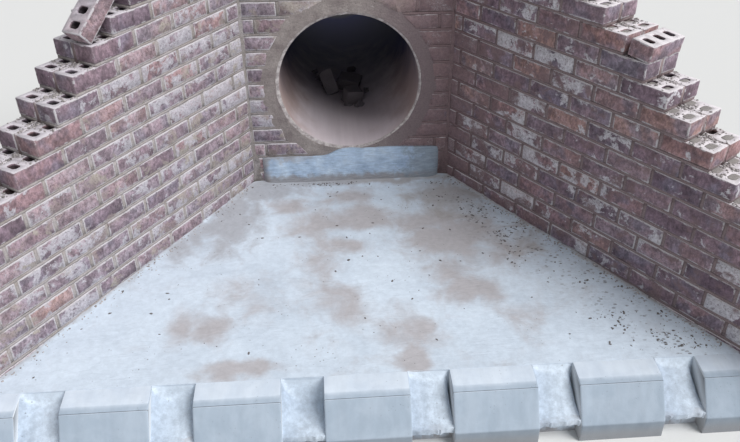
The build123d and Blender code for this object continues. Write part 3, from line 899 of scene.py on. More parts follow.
def brick_batch(rows, holed, wall, random, ring_radius=None):
    """Points, faces and marks of a batch of bricks on a wall. A point's place is its brick's centre plus
    its own offset; along the wall it runs from the brick's start to its end, which may both be cut on the
    skew."""
    start, start_slope, end, end_slope, near, far, low, high, film, dust, mud = np.array(rows, float).T
    count = len(start)
    middle = (near + far) / 2
    length = end - start + (end_slope - start_slope) * middle
    half = in_threes(length, far - near, high - low) / 2
    if holed:
        own, faces = holed_bricks(half, random), holed_faces()
    else:
        own = worn_rings(half, plain_shares, plain_draws, random).reshape(count, -1, 3)
        faces = tube_faces(len(plain_shares), 8)
    bent = turn_about(own, random)
    across = bent[..., 1] + middle[:, None]
    share = bent[..., 0] / length[:, None] + 0.5
    from_start = start[:, None] + start_slope[:, None] * across
    to_end = end[:, None] + end_slope[:, None] * across
    along = from_start * (1 - share) + to_end * share
    height = bent[..., 2] + (low + high)[:, None] / 2 + wall.lift(along, high[:, None])
    spots = in_threes(along, across, height)
    if ring_radius is not None:
        spots = clear_of_ring(spots, ring_radius)
    points = wall.place(spots)
    points = points + 0.0007 * soft_noise(points, 45, 5)[..., None] * wall.behind
    tone = np.clip(random.normal(0.42, 0.25, count), 0, 0.85)
    coat = np.clip(random.normal(film, 0.30), 0, 1.3)
    shuffled = spots + random.random((count, 1, 3)) * grain_shift
    dusting = np.clip(random.normal(dust, 0.10), 0, 1)
    marks = brick_marks(own, half, shuffled, tone=tone, film=coat, dust=dusting, mud=mud, bed=1.0)
    return points.reshape(-1, 3), repeated(faces, count, own.shape[1]), marks


def clear_of_ring(spots, radius):
    """Bricks cut to a ring about the pipe. What reaches inside the ring moves out sideways to it, or, in
    the bricks straight above and below the pipe, up or down to it, but leaves a thin slip of the brick."""
    along, level = spots[..., 0], spots[..., 2] - pipe_level
    centre_along = along.mean(axis=1, keepdims=True)
    centre_level = level.mean(axis=1, keepdims=True)
    beside = np.abs(centre_along) > brick_length / 2
    half_chord = np.sqrt(np.clip(radius ** 2 - level ** 2, 0, None))
    half_rise = np.sqrt(np.clip(radius ** 2 - along ** 2, 0, None))
    moved_along = np.sign(centre_along) * np.maximum(np.abs(along), half_chord)
    farthest = np.abs(level).max(axis=1, keepdims=True) - ring_slip
    moved_level = np.sign(centre_level) * np.maximum(np.abs(level), np.minimum(half_rise, farthest))
    new_along = np.where(beside, moved_along, along)
    new_level = np.where(beside, level, moved_level)
    return in_threes(new_along, spots[..., 1], new_level + pipe_level)


def outside_share(start, end, low, radius):
    """Share of a brick's face that lies outside a ring about the pipe, from a grid of points on it."""
    levels = np.linspace(low, low + brick_height, 5) - pipe_level
    along, level = np.meshgrid(np.linspace(start, end, 9), levels)
    return np.mean(along ** 2 + level ** 2 > radius ** 2)


def wing_course(side, course, near):
    """Bricks of one wing course, from its free end back to the mitre, each a bond behind the last. Below
    the foot course the end is upright, so every other course starts with half a brick."""
    end = course_end(side, course)
    middle = near + brick_width / 2
    corner = joint / 2 - mitre_slope * middle
    half_start = (foot_course[side] - course) % 2 == 1 and course < foot_course[side]
    length = half_brick if half_start else brick_length
    placed = []
    while end - corner > least_closer:
        start = end - length
        if start - joint - corner < least_closer:
            placed.append((joint / 2, -mitre_slope, end, 0.0))
            break
        placed.append((start, 0.0, end, 0.0))
        end = start - joint
        length = brick_length
    return placed


def headwall_course(course, near):
    """Bricks of one headwall course: one centred on the pipe in odd courses, a joint there in even ones."""
    middle = near + brick_width / 2
    limit = half_back_width + mitre_slope * middle - joint / 2
    shift = 0 if course % 2 else half_bond
    placed = []
    for count in range(-4, 5):
        centre = shift + count * brick_bond
        start, end = centre - brick_length / 2, centre + brick_length / 2
        if start > limit - least_closer or end < least_closer - limit:
            continue
        cut_start = start - joint - least_closer < -limit
        cut_end = end + joint + least_closer > limit
        placed.append((
            joint / 2 - half_back_width if cut_start else start, -mitre_slope if cut_start else 0.0,
            half_back_width - joint / 2 if cut_end else end, mitre_slope if cut_end else 0.0,
        ))
    return placed


def wing_looks(side, middle, low, at_end):
    """Film, dust and brown mortar of a wing's brick. The left wing is dusty, with a film near the corner
    and high up; the right wing is clean and browner towards the corner; the bricks at the racked end are
    clean. The paler left wing and the darker, browner right wing are partly painted light and shade."""
    to_corner = math.exp(-middle / 0.30)
    if at_end:
        return 0.0, 0.08, 0.0
    if side == "left":
        return 0.38 + 0.62 * to_corner * (0.75 < low < 1.3), 0.38, 0.26 + 0.34 * to_corner * (low < 0.8)
    return 0.44 - 0.20 * to_corner, 0.07, 0.30 + 0.85 * to_corner * (low < 1.15)


def lay_wing(side, near):
    """All bricks of one leaf of a wing. One that lies open on a tread or the top course shows its holes."""
    bricks = Bricks()
    for course in range(1, top_course + 1):
        for number, placed in enumerate(wing_course(side, course, near)):
            whole = placed[2] - placed[0] > brick_length - 0.001 and placed[1] == 0
            at_end = number == 0 and course >= foot_course[side]
            low = bed_level(course) + joint
            looks = wing_looks(side, (placed[0] + placed[2]) / 2, low, at_end)
            bricks.lay(placed, near, low, looks, whole and (at_end or course == top_course))
    return bricks


def ringed_course(course, near, radius):
    """Bricks of a headwall course with the pipe's ring taken out: a brick that mostly lies in the ring is
    left out, and where it was next to a corner brick, that one reaches over to the ring."""
    bottom = bed_level(course) + joint + walls["headwall"].lift(0.0, course * course_rise)
    reach = radius - corner_brick_reach
    laid = []
    for start, start_slope, end, end_slope in headwall_course(course, near):
        if outside_share(start, end, bottom, radius) >= least_share_outside:
            laid.append([start, start_slope, end, end_slope])
    for before, after in zip(laid, laid[1:]):
        if after[0] - before[2] > brick_length:
            before[2] = max(before[2], -reach) if before[1] else before[2]
            after[0] = min(after[0], reach) if after[3] else after[0]
    return laid


def lay_headwall(near, radius):
    """All bricks of one leaf of the headwall, but for those that the pipe's ring takes most of."""
    bricks = Bricks()
    for course in range(1, top_course + 1):
        low = bed_level(course) + joint
        for placed in ringed_course(course, near, radius):
            whole = placed[1] == 0 and placed[3] == 0
            middle = (placed[0] + placed[2]) / 2
            to_right = min(max(middle + 0.5, 0), 1)
            # Less dust and film and more brown mortar to the right: partly the wall's smears, partly painted
            # shade where the right wing shades the headwall.
            looks = (0.40 - 0.25 * to_right, 0.40 - 0.36 * to_right, 0.26 + 0.94 * min(2 * to_right, 1))
            bricks.lay(placed, near, low, looks, whole and course == top_course)
    return bricks


def add_bricks(name, bricks, wall, seed, replaced, ring_radius=None):
    """One piece of the plain and the holed bricks of a leaf."""
    random = np.random.default_rng(seed)
    batches = [brick_batch(bricks.plain, False, wall, random, ring_radius)]
    if bricks.holed:
        batches.append(brick_batch(bricks.holed, True, wall, random, ring_radius))
    points, faces = joined([batch[:2] for batch in batches])
    marks = {mark: np.concatenate([batch[2][mark] for batch in batches]) for mark in batches[0][2]}
    return add_piece(name, points, faces, brick_finish, "brick", replaced, marks)


# Mortar of the bed joints and upright joints


def bed_bar(wall, course, start, start_slope, end, end_slope, near, far, seed):
    """A closed bar of mortar along a course's bed joint: six points round it, its near and far sides
    bulging a little, roughened by noise at rings 16 mm apart. Its lower side follows the course below."""
    below = bed_level(course)
    low, high = max(below - bar_overlap, 0), below + joint + bar_overlap
    rings = max(int(abs(end - start) / bar_spacing), 2) + 1
    share = np.linspace(0, 1, rings)[:, None]
    middle = (low + high) / 2
    across = np.array([far, far + 0.001, far, near, near - 0.001, near])[None, :]
    level = np.array([low, middle, high, high, middle, low])[None, :]
    along = (start + start_slope * across) * (1 - share) + (end + end_slope * across) * share
    spots = in_threes(along, across, level)
    bulge = np.array([1, 1, 1, -1, -1, -1])
    spots[..., 1] += bulge * bar_roughness * rough_noise(spots, 55, seed)
    share_up = np.array([0, 0.5, 1, 1, 0.5, 0])
    lifted = wall.lift(spots[..., 0], course * course_rise)
    lifted_below = wall.lift(spots[..., 0], below)
    spots[..., 2] += lifted * share_up + lifted_below * (1 - share_up)
    return tube(spots)


def upright_bars(wall, rows, seed):
    """Closed bars of mortar in the upright joints: four rings of six points, rough at front and back."""
    start, start_slope, end, end_slope, near, far, low, high = np.array(rows, float).T[:, :, None, None]
    share = np.linspace(0, 1, 4)[None, :, None]
    across_share = np.array([0, 0, 0, 1, 1, 1])[None, None, :]
    along_share = np.array([0, 0.5, 1, 1, 0.5, 0])[None, None, :]
    across = near * (1 - across_share) + far * across_share
    along = (start + start_slope * across) * (1 - along_share) + (end + end_slope * across) * along_share
    level = low * (1 - share) + high * share
    spots = in_threes(along, across, level)
    bulge = np.array([-1, -1, -1, 1, 1, 1])
    spots[..., 1] += bulge * bar_roughness * rough_noise(spots, 55, seed)
    spots[..., 2] += wall.lift(spots[..., 0], np.ceil(high / course_rise - 0.001) * course_rise)
    return tubes(spots)


def upright_rows(placed, near, low, recess):
    """The upright joints between the bricks of a course, and the half joints at its mitred ends."""
    ordered = sorted(placed)
    sides = (near + recess, near + brick_width - recess, low, low + brick_height)
    rows = [
        (before[2] - bar_overlap, before[3], after[0] + bar_overlap, after[1], *sides)
        for before, after in zip(ordered, ordered[1:])
    ]
    first, last = ordered[0], ordered[-1]
    if first[1]:
        rows.append((first[0] - joint / 2, first[1], first[0] + bar_overlap, first[1], *sides))
    if last[3]:
        rows.append((last[2] - bar_overlap, last[3], last[2] + joint / 2, last[3], *sides))
    return rows


def all_joints(wall, bars, rows, seed):
    """Points and faces of the bed and upright joints, and a mark for painted shade on what lies close under
    a brick.
    """
    points, faces = joined([*bars, upright_bars(wall, rows, seed)])
    under = np.zeros(len(points))
    beds = sum(len(spots) for spots, _ in bars)
    # Painted shade along the top of each bed bar, under the brick above.
    under[:beds] = np.tile([0, 0, 1, 1, 0, 0], beds // 6)
    return points, faces, {"under": under}


def wing_mortar(side, near, seed):
    """Bed and upright joints of one leaf of a wing, set back a little from its faces and its racked end."""
    bars, rows = [], []
    wall = walls[side]
    recess = joint_recess[side]
    sides = (near + recess, near + brick_width - recess)
    for course in range(1, top_course + 1):
        low = bed_level(course)
        end = course_end(side, course) - recess
        bars.append(bed_bar(wall, course, 0.0, -mitre_slope, end, 0.0, *sides, seed))
        rows.extend(upright_rows(wing_course(side, course, near), near, low + joint, recess))
    return all_joints(wall, bars, rows, seed)


def headwall_mortar(near, radius, seed):
    """Bed and upright joints of one leaf of the headwall, stopping inside the pipe's ring."""
    bars, rows = [], []
    wall = walls["headwall"]
    inner = radius + 0.006
    recess = joint_recess["headwall"]
    sides = (near + recess, near + brick_width - recess)
    flush = (near + flush_recess, near + brick_width - recess)
    for course in range(1, top_course + 1):
        low = bed_level(course)
        lifted = wall.lift(0.0, course * course_rise)
        above = low + joint / 2 + lifted - pipe_level
        half_chord = math.sqrt(max(inner ** 2 - above ** 2, 0))
        left_end, right_end = (-half_back_width, -mitre_slope), (half_back_width, mitre_slope)
        if half_chord:
            bars.append(bed_bar(wall, course, *left_end, -half_chord, 0.0, *sides, seed))
            bars.append(bed_bar(wall, course, half_chord, 0.0, *right_end, *flush, seed))
        else:
            bars.append(bed_bar(wall, course, *left_end, *right_end, *sides, seed))
        laid = ringed_course(course, near, radius)
        centre = pipe_level - lifted
        for *plan, bottom, top in upright_rows(headwall_course(course, near), near, low + joint, recess):
            middle = (plan[0] + plan[2]) / 2
            if any(start < middle < end for start, _, end, _ in laid):
                continue
            half_rise = math.sqrt(max(inner ** 2 - middle ** 2, 0))
            if bottom + brick_height / 2 > centre:
                bottom = max(bottom, centre + half_rise)
            else:
                top = min(top, centre - half_rise)
            if top - bottom > least_bar:
                rows.append((*plan, bottom, top))
    return all_joints(wall, bars, rows, seed)


def collar_mortar(side, seed):
    """Mortar between a wing's leaves: a closed bar a course, short of the racked end and rough on top."""
    bars = []
    near, far = brick_width - collar_overlap, back_leaf + collar_overlap
    for course in range(1, top_course + 1):
        end = course_end(side, course) - collar_set_back
        low = max(bed_level(course) - collar_drop, 0)
        high = course * course_rise - collar_drop
        rings = int(end / fine_spacing) + 2
        share = np.linspace(0, 1, rings)[:, None]
        across = np.array([far, far, (2 * far + near) / 3, (far + 2 * near) / 3, near, near])[None, :]
        level = np.array([low, high, high, high, high, low])[None, :]
        along = -mitre_slope * across * (1 - share) + end * share
        spots = in_threes(along, across, level)
        rise = walls[side].lift(along, course * course_rise) - 0.0030 * np.abs(rough_noise(spots, 70, seed))
        spots[..., 2] += np.where(np.array([0, 1, 1, 1, 1, 0]), rise, 0)
        spots[-1, :, 0] -= 0.003 * np.abs(rough_noise(spots[-1], 90, seed + 3))
        bars.append(tube(spots))
    return joined(bars)


# Droppings, plugs and rubble


def lumps(centres, sizes, random):
    """Small lumps: three rings of six points between two poles, every point pulled in or out at random."""
    lift = np.radians([-50, 0, 50])
    turn = np.radians(60) * np.arange(6)
    level = np.cos(lift)[:, None]
    ring_points = in_threes(level * np.cos(turn), level * np.sin(turn), np.sin(lift)[:, None])
    unit = np.concatenate([ring_points.reshape(-1, 3), [(0, 0, -1), (0, 0, 1)]])
    pulled = unit * (1 + 0.35 * (random.random((len(centres), len(unit), 1)) - 0.5) * 2)
    angle = random.random(len(centres)) * 2 * math.pi
    sized = pulled * sizes[:, None, :]
    shape = in_threes(*spun(sized[..., 0], sized[..., 1], angle[:, None]), sized[..., 2])
    quads = tube_faces(3, 6)[0]
    spot = np.arange(6)
    after = (spot + 1) % 6
    bottom = np.stack([after, spot, np.full(6, 18)], -1)
    top = np.stack([12 + spot, 12 + after, np.full(6, 19)], -1)
    points = (shape + centres[:, None, :]).reshape(-1, 3)
    return points, repeated([quads, bottom, top], len(centres), len(unit))


# Holes left open, as side, course, leaf from the front and place from the nose
open_holes = {
    ("left", 15, 0, 0), ("left", 15, 1, 0), ("left", 15, 0, 1), ("left", 15, 1, 1), ("left", 14, 0, 0),
    ("right", 15, 0, 0), ("right", 15, 0, 1), ("right", 14, 1, 1), ("right", 12, 1, 1),
}


def hole_fill(side, course, random):
    """How deep the mortar lies in a tread's hole, or below nothing where it stands flush."""
    if side == "left":
        return random.uniform(0.020, 0.045)
    return random.uniform(0.003, 0.010) if course >= 14 else -0.001


def tread_holes(side, course):
    """Holes that show on a tread, front leaf first: each one's leaf, place from the nose and middle."""
    nose = course_end(side, course)
    return [
        (leaf, place, (nose - first_hole - place * hole_pitch, near + brick_width / 2))
        for leaf, near in enumerate((0, back_leaf)) for place in (0, 1)
    ]


def hole_plugs(side, random):
    """Mortar in the holes of a wing's treads: eight-sided plugs with a rough domed top. Low on the right
    wing they stand flush and smear a little way over the rim."""
    centres, depths = [], []
    for course in range(foot_course[side], top_course):
        for leaf, place, middle in tread_holes(side, course):
            depth = hole_fill(side, course, random)
            if (side, course, leaf, place) not in open_holes:
                centres.append((*middle, course * course_rise))
                depths.append(depth)
    centres, depths = np.array(centres), np.array(depths)[:, None]
    flush = depths < 0
    root = hole_depth - 0.002
    size = np.where(flush, [1.0, 1.0, 1.10, 0.90], [1.0, 1.0, 0.85, 0.55])
    sunk = np.array([root, 0.003, 0.0005, 0.0]) + depths * [0, 1, 1, 1]
    drop = np.where(flush, [root, 0.003, -0.0002, -0.0008], sunk)
    plan = hole_outline(-0.0004) * size[..., None, None] + centres[:, None, None, :2]
    rough = 0.0022 * (random.random((*size.shape, 8)) - 0.5) * np.array([0, 1, 0.4, 1])[:, None]
    level = centres[:, 2:3, None] - drop[..., None] + rough
    spots = np.concatenate([plan, level[..., None]], -1)
    return tubes(spots)


def tread_droppings(side, random):
    """Mortar dropped on a wing's treads: thick along the foot of each riser, thin elsewhere and along the
    joint between the leaves, and none over a hole."""
    few, many = 26, 120
    spots, sizes = [], []
    for course in range(foot_course[side], top_course):
        low, high = course_end(side, course + 1), course_end(side, course)
        wide = (random.uniform(low, high - 0.004, few), random.uniform(0.006, wall_thickness - 0.006, few))
        riser = (low + random.exponential(0.019, many), random.uniform(0.004, wall_thickness - 0.004, many))
        seam = (random.uniform(low, high - 0.012, few), random.normal(wall_thickness / 2, 0.011, few))
        plan = np.concatenate([wide, riser, seam], axis=1).T
        grades = ((0.0012, 0.0035, few), (0.0025, 0.0075, many), (0.0015, 0.0045, few))
        size = np.concatenate([random.uniform(*grade) for grade in grades])
        holes = np.array([middle for _, _, middle in tread_holes(side, course)])
        from_hole = np.abs(plan[:, None, :] - holes)
        clear = (hole_half_width + 0.005, hole_half_length + 0.005)
        over_hole = np.any((from_hole < clear).all(axis=-1), axis=1)
        kept = ~over_hole & (plan[:, 0] < high - 0.003)
        spots.append(np.column_stack([plan[kept], np.full(kept.sum(), course * course_rise)]))
        sizes.append(size[kept])
    spots, size = np.concatenate(spots), np.concatenate(sizes)
    spots[:, 2] += size * 0.15
    return walls[side].place(spots), np.column_stack([size, size * 0.85, size * 0.55])


def apron_surface(across, back):
    """Level of the apron: its even fall with shallow waves from floating it."""
    place = in_threes(across, back, 0.0)
    waves = 0.0016 * rough_noise(place, 4.5, 21) + 0.0004 * rough_noise(place, 22, 24)
    return apron_level + apron_fall * back + waves


def wing_foot_droppings(side, count, random):
    """Mortar dropped on the apron along a wing's foot, closer together towards the wall."""
    along = random.uniform(0.02, 1.75, count)
    out = -random.exponential(0.022, count)
    points = walls[side].place(np.column_stack([along, out, np.zeros(count)]))
    kept = (points[:, 1] > kerb_back + 0.01) & (points[:, 1] < -0.04)
    points = points[kept]
    size = random.uniform(0.0015, 0.0065, len(points)) * (0.5 + np.exp(out[kept] / 0.03))
    points[:, 2] = apron_surface(points[:, 0], points[:, 1])
    return points, np.column_stack([size, size * 0.8, size * 0.55])


def turned_blocks(rows, random):
    """Broken pieces of brick and concrete: worn bricks' rings, squeezed by noise, each turned about three
    axes. A row holds the centre, the half sizes, and the turns about X, Y and Z in degrees."""
    rows = np.array(rows, float)
    half = rows[:, 3:6]
    centres = rows[:, None, None, :3]
    own = worn_rings(half, plain_shares, plain_draws, random)
    own = own * (1 + 0.22 * soft_noise(own + centres * 9, 14, 3)[..., None])
    angles = np.radians(rows[:, 6:9])
    for axis in range(3):
        first, second = (axis + 1) % 3, (axis + 2) % 3
        turn = angles[:, axis, None, None]
        own[..., first], own[..., second] = spun(own[..., first], own[..., second], turn)
    return tubes(own + centres)


# Pipe and what is round it


def turned(profile, segments, wobble=None):
    """A ring-shaped solid: the closed profile of radius and depth, turned about the pipe's axis."""
    angle = np.linspace(0, 2 * math.pi, segments, endpoint=False)[:, None]
    radius, depth = profile[None, :, 0], profile[None, :, 1]
    if wobble is not None:
        radius, depth = wobble(radius, depth, angle)
    points = in_threes(radius * np.cos(angle), depth, pipe_level + radius * np.sin(angle))
    return points.reshape(-1, 3), wheel_faces(segments, profile.shape[0])


def add_pipe():
    """The pipe unit: bore, pale rim with worn arrises, outside, and the rebate at its far end."""
    steps, segments = 26, 144
    rebate_start = pipe_length - pipe_rebate
    bore = np.column_stack([np.full(steps, bore_radius), np.linspace(pipe_length, 0.008, steps)])
    rim_and_outside = np.array([
        (bore_radius + 0.002, 0.0035), (bore_radius + 0.007, 0.0006), (pipe_radius - 0.004, 0.0),
        (pipe_radius, 0.004), (pipe_radius, 1.2), (pipe_radius, rebate_start),
        (rebate_radius, rebate_start), (rebate_radius, pipe_length),
    ])
    profile = np.concatenate([bore, rim_and_outside])

    def wobble(radius, depth, angle):
        place = in_threes(np.cos(angle) * 0.4, depth, np.sin(angle) * 0.4)
        chips = np.where((depth < 0.006) & (radius < 0.39), 0.0022, 0.0) * np.abs(rough_noise(place, 45, 7))
        return radius + 0.0005 * soft_noise(place, 9, 2) + chips, depth

    unit = turned(profile, segments, wobble)
    marks = {"bore": np.tile(np.arange(len(profile)) <= steps, segments)}
    add_piece("pipe_unit", *unit, pipe_finish, "pipe_concrete", ["pipe_barrel"], marks, 40)


def add_surround():
    """Mortar round the pipe's mouth: it laps over the pipe's end along an uneven edge, which wanders by
    noise round the ring and draws back low on the left, and lies flush between the cut bricks."""
    inner = pipe_radius + pipe_gap
    lap_radius = bore_radius + 0.010
    shares = np.linspace(0, 1, 12)
    lap = np.array([(inner, brick_width - 0.004), (inner, 0.001), (lap_radius - 0.001, 0.001)])
    skin_radii = lap_radius + shares * (surround_radius - lap_radius)
    skin = np.column_stack([skin_radii, 0.0032 * shares ** 2 - 0.0022])
    tail = np.array([(tail_radius, 0.0035), (tail_radius, brick_width - 0.004)])
    profile = np.concatenate([lap, skin, tail])
    on_face = np.concatenate([[0, 0, 0], np.ones(len(shares)), [0, 0]])
    to_rim = np.concatenate([[0, 0, 1], 1 - shares, [0, 0]])

    def wobble(radius, depth, angle):
        place = in_threes(radius * np.cos(angle), 0.0, radius * np.sin(angle))
        edge = in_threes(np.cos(angle[:, 0]), np.sin(angle[:, 0]), 0.0)
        drawn_back = 0.006 * np.clip(-np.cos(angle - 0.7), 0, 1)
        wander = 0.003 + 0.004 * rough_noise(edge, 9, 12)[:, None] + drawn_back
        relief = 0.0016 * rough_noise(place, 24, 17) + 0.0010 * rough_noise(place, 90, 19)
        return radius + to_rim[None, :] * wander, depth + on_face[None, :] * relief

    near, far = back_leaf + 0.002, wall_thickness - 0.006
    back = np.array([(inner, far), (inner, near), (back_mortar_radius, near), (back_mortar_radius, far)])
    both = joined([turned(profile, 190, wobble), turned(back, 96)])
    add_piece("pipe_surround_mortar", *both, surround_finish, "mortar", ["pipe_surround"], None, 50)


def add_sill():
    """The sill: a battered face carried across, its uneven top edge risen to the pipe's invert."""
    rings = 110
    spread = np.linspace(-1, 1, rings)[:, None]
    across = sill_half_width * np.sign(spread) * (1 - (1 - np.abs(spread)) ** 1.4)
    line = in_threes(across[:, 0], 0.0, 0.0)
    rise = 0.041 / (1 + np.exp(-(across + 0.10) / 0.020))
    sag = 0.010 * np.clip(across / sill_half_width, 0, 1) ** 2
    top = sill_left_top + rise - sag + 0.004 * rough_noise(line, 16, 31)[:, None]
    taper = 1 - 0.93 * np.exp(-(sill_half_width - np.abs(across)) / 0.022)
    share = np.linspace(0, 1, 13)
    top_out, batter = 0.0145, 0.0195
    out = taper * np.concatenate([[0, 0.008], top_out + batter * share, [0]])[None, :]
    down = np.concatenate([[0, 0], 0.003 + 0.997 * share, [1]])[None, :]
    level = top * (1 - down) + apron_contact * down
    place = in_threes(across, -out, level)
    on_face = np.concatenate([[0, 0.5], np.ones(len(share)), [0]])
    place[..., 1] += on_face * 0.0032 * rough_noise(place, 20, 33)
    add_piece("sill_block", *tube(place), sill_finish, "concrete", ["sill"], None, 50)


def add_corner_mortar(side, seed):
    """Mortar up an inner corner: a hollow curve from headwall to wing, its two edges wandering by noise."""
    wall = walls[side]
    sign = -1 if side == "left" else 1
    levels = np.arange(apron_contact, top_course * course_rise - joint, fine_spacing)
    line = in_threes(0.0, 0.0, levels)
    reach = 0.009 + 0.016 * np.exp((apron_level - levels) / 0.06)
    on_head = reach + 0.006 * rough_noise(line, 13, seed) + 0.028 / (1 + np.exp((levels - 0.47) / 0.012))
    on_wing = reach + 0.008 * rough_noise(line, 11, seed + 5)
    corner = np.array([sign * half_back_width, 0.0, 0.0])
    toward_head = np.array([-sign, 0.0, 0.0])
    inward = np.array([sign * 0.002, 0.003, 0.0])
    first = corner + toward_head * on_head[:, None]
    last = corner + wall.along * on_wing[:, None]
    pull = corner + (toward_head + wall.along) * 0.0035
    curve = [curve_between(first, pull, last, share) for share in np.linspace(0, 1, 7)]
    heel = np.broadcast_to(corner + inward, first.shape)
    points = np.stack([heel, first + inward, *curve, last + wall.behind * 0.003], 1)
    points[..., 2] = levels[:, None]
    rough = 0.0022 * rough_noise(points, 50, seed + 9)
    proud = toward_head + wall.along
    points += (rough * np.array([0, 0, 0.3, 1, 1, 1, 1, 1, 0.3, 0]))[..., None] * proud
    # Painted shade in the corner fillet, darkest at its foot.
    marks = {"under": np.repeat(0.56 + 0.34 * np.exp((apron_level - levels) / 0.06), points.shape[1])}
    add_piece(f"{side}_corner_fillet", *tube(points), mortar_finish, "mortar", [f"{side}_corner_mortar"],
              marks, 60)


# Apron, spouts and kerbs

# Silt on the apron, as middle across and back, half width across and back, and strength
silt_patches = [
    (-0.19, -0.50, 0.17, 0.12, 1.0), (0.08, -0.41, 0.22, 0.10, 0.95), (0.32, -0.48, 0.21, 0.11, 0.95),
    (0.53, -0.58, 0.18, 0.13, 0.85), (0.69, -0.72, 0.16, 0.14, 0.55), (-0.09, -0.62, 0.15, 0.07, 1.0),
    (0.04, -0.22, 0.14, 0.07, 0.8), (-0.36, -0.28, 0.12, 0.06, 0.9), (-0.20, -0.83, 0.13, 0.14, 1.0),
    (-0.13, -0.99, 0.13, 0.13, 0.95), (-0.09, -1.13, 0.12, 0.09, 0.8), (0.40, -0.87, 0.12, 0.10, 0.85),
    (0.49, -1.02, 0.11, 0.10, 0.95), (0.46, -0.74, 0.15, 0.13, 0.75), (0.66, -1.22, 0.13, 0.10, 0.55),
    (0.17, -1.30, 0.15, 0.09, 0.65), (0.20, -1.44, 0.06, 0.07, 1.0), (-0.50, -0.93, 0.15, 0.13, 0.6),
    (-0.67, -1.20, 0.09, 0.09, 0.7), (-0.81, -1.16, 0.06, 0.09, 0.65), (-0.53, -1.45, 0.14, 0.04, 0.9),
    (0.84, -0.92, 0.14, 0.22, 0.15), (0.10, -0.70, 0.72, 0.72, 0.34),
    (0.21, -0.72, 0.13, 0.11, -1.0), (0.11, -0.90, 0.14, 0.10, -0.95), (0.30, -0.26, 0.12, 0.10, -1.0),
    (-0.02, -0.54, 0.09, 0.03, -0.8), (-0.56, -0.62, 0.24, 0.17, -0.9), (0.49, -1.23, 0.08, 0.08, -0.8),
    (-0.26, -1.25, 0.12, 0.09, -0.7), (-0.31, -0.93, 0.09, 0.08, -0.7), (0.40, -0.63, 0.12, 0.09, 0.95),
]

# Grey mortar smeared on the apron, in the same form
daub_patches = [
    (-0.66, -0.36, 0.14, 0.24, 0.9), (-0.50, -0.10, 0.16, 0.10, 1.0), (0.46, -0.24, 0.14, 0.16, 0.8),
    (0.0, -0.04, 0.55, 0.035, 0.9), (0.62, -0.34, 0.10, 0.26, 0.6), (-0.93, -0.60, 0.08, 0.13, 0.75),
    (0.86, -0.66, 0.09, 0.20, 0.55), (1.10, -1.00, 0.08, 0.20, 0.25), (-0.83, -0.51, 0.06, 0.12, 0.8),
]


def patch_strength(across, back, patches):
    """Greatest strength of any patch at a point: its own, falling off as a bell over its half widths, on
    places pushed about by noise. A patch of strength below nothing clears what lies under it."""
    place = in_threes(across, back, 0.0)
    across = across + 0.050 * rough_noise(place, 6.5, 43)
    back = back + 0.045 * rough_noise(place, 7.5, 47)
    total = np.zeros_like(across)
    for middle, behind, wide, deep, strength in patches:
        bell = strength * np.exp(-(((across - middle) / wide) ** 2 + ((back - behind) / deep) ** 2) * 0.42)
        total = np.maximum(total, bell) if strength > 0 else total * (1 + bell)
    return total


def add_apron():
    """The apron slab: the closed outline of its side, carried across from wing to wing, its top in waves
    and lifted in a thin skirt of mortar along either wing."""
    rings, steps = 170, 112
    toe_back = kerb_back + toe_width
    over = -np.linspace(0, 1, steps) * (apron_length + 0.003)
    back = np.concatenate([over, [kerb_back, toe_back, toe_back, 0]])[None, :]
    under = apron_level - apron_thickness
    toe_under = under + apron_fall * toe_back
    spread = np.linspace(-1, 1, rings)[:, None]
    share = np.sign(spread) * (1 - (1 - np.abs(spread)) ** 1.5)
    half_width = half_back_width - back * splay_run + 0.004
    across = share * half_width
    to_wing = (half_width - np.abs(across)) * math.cos(splay)
    top = apron_surface(across, back)
    ragged = rough_noise(in_threes(across, back, 0.0), 30, 41)
    top = top + 0.007 * np.exp(-to_wing / 0.010) * (1 + 0.7 * ragged)
    level = np.where(np.arange(steps + 4)[None, :] < steps, top, 0)
    level[:, steps:] = np.array([0, 0, toe_under, under])
    slab = tube(in_threes(across, back, level))
    flat_across, flat_back = slab[0][:, 0], slab[0][:, 1]
    silt = patch_strength(flat_across, flat_back, silt_patches)
    along_wings = 0.85 * np.exp(-to_wing / 0.028).ravel()
    daub = np.maximum(patch_strength(flat_across, flat_back, daub_patches), along_wings)
    from_right = half_width - across
    dirt = np.exp(-((from_right - 0.15) / 0.17) ** 2) * np.clip(-back / 0.4 - 0.3, 0, 1)
    spouts = [spout_shape(number) for number in range(1, kerb_count)]
    spout_across, spout_back, spout_level = np.concatenate([points for points, _ in spouts]).T
    from_left = np.mod(spout_across - kerb_start(1) - kerb_length + 0.0025, kerb_pitch)
    share = np.clip(from_left / (kerb_pitch - kerb_length), 0, 1)
    below = np.clip((kerb_back - spout_back) / 0.03, 0, 1)
    marks = {
        "silt": np.concatenate([silt, 0.25 * (spout_level < 0.11)]),
        "daub": np.concatenate([daub, 0.7 * (spout_level < 0.06)]),
        "dirt": np.concatenate([dirt.ravel(), 0 * spout_level]),
        # Spout mark: strength of the painted shade on the spouts, most at their left; nothing on the apron.
        "spout": np.concatenate([0 * flat_back, (1 - 0.6 * share) * below]),
    }
    points, faces = joined([slab, *spouts])
    add_piece("apron_and_spouts", points, faces, apron_finish, "concrete", ["apron_slab"], marks, 40)


def kerb_start(number):
    """Left end of a kerb, counted from one at the left."""
    return kerb_row_shift + (number - (kerb_count + 1) / 2) * kerb_pitch - kerb_length / 2


# How far each spout, from the left, drops steeply at its back instead of easing over
spout_steepness = (0.45, 0.50, 0.85, 0.25, 0.20, 0.30)


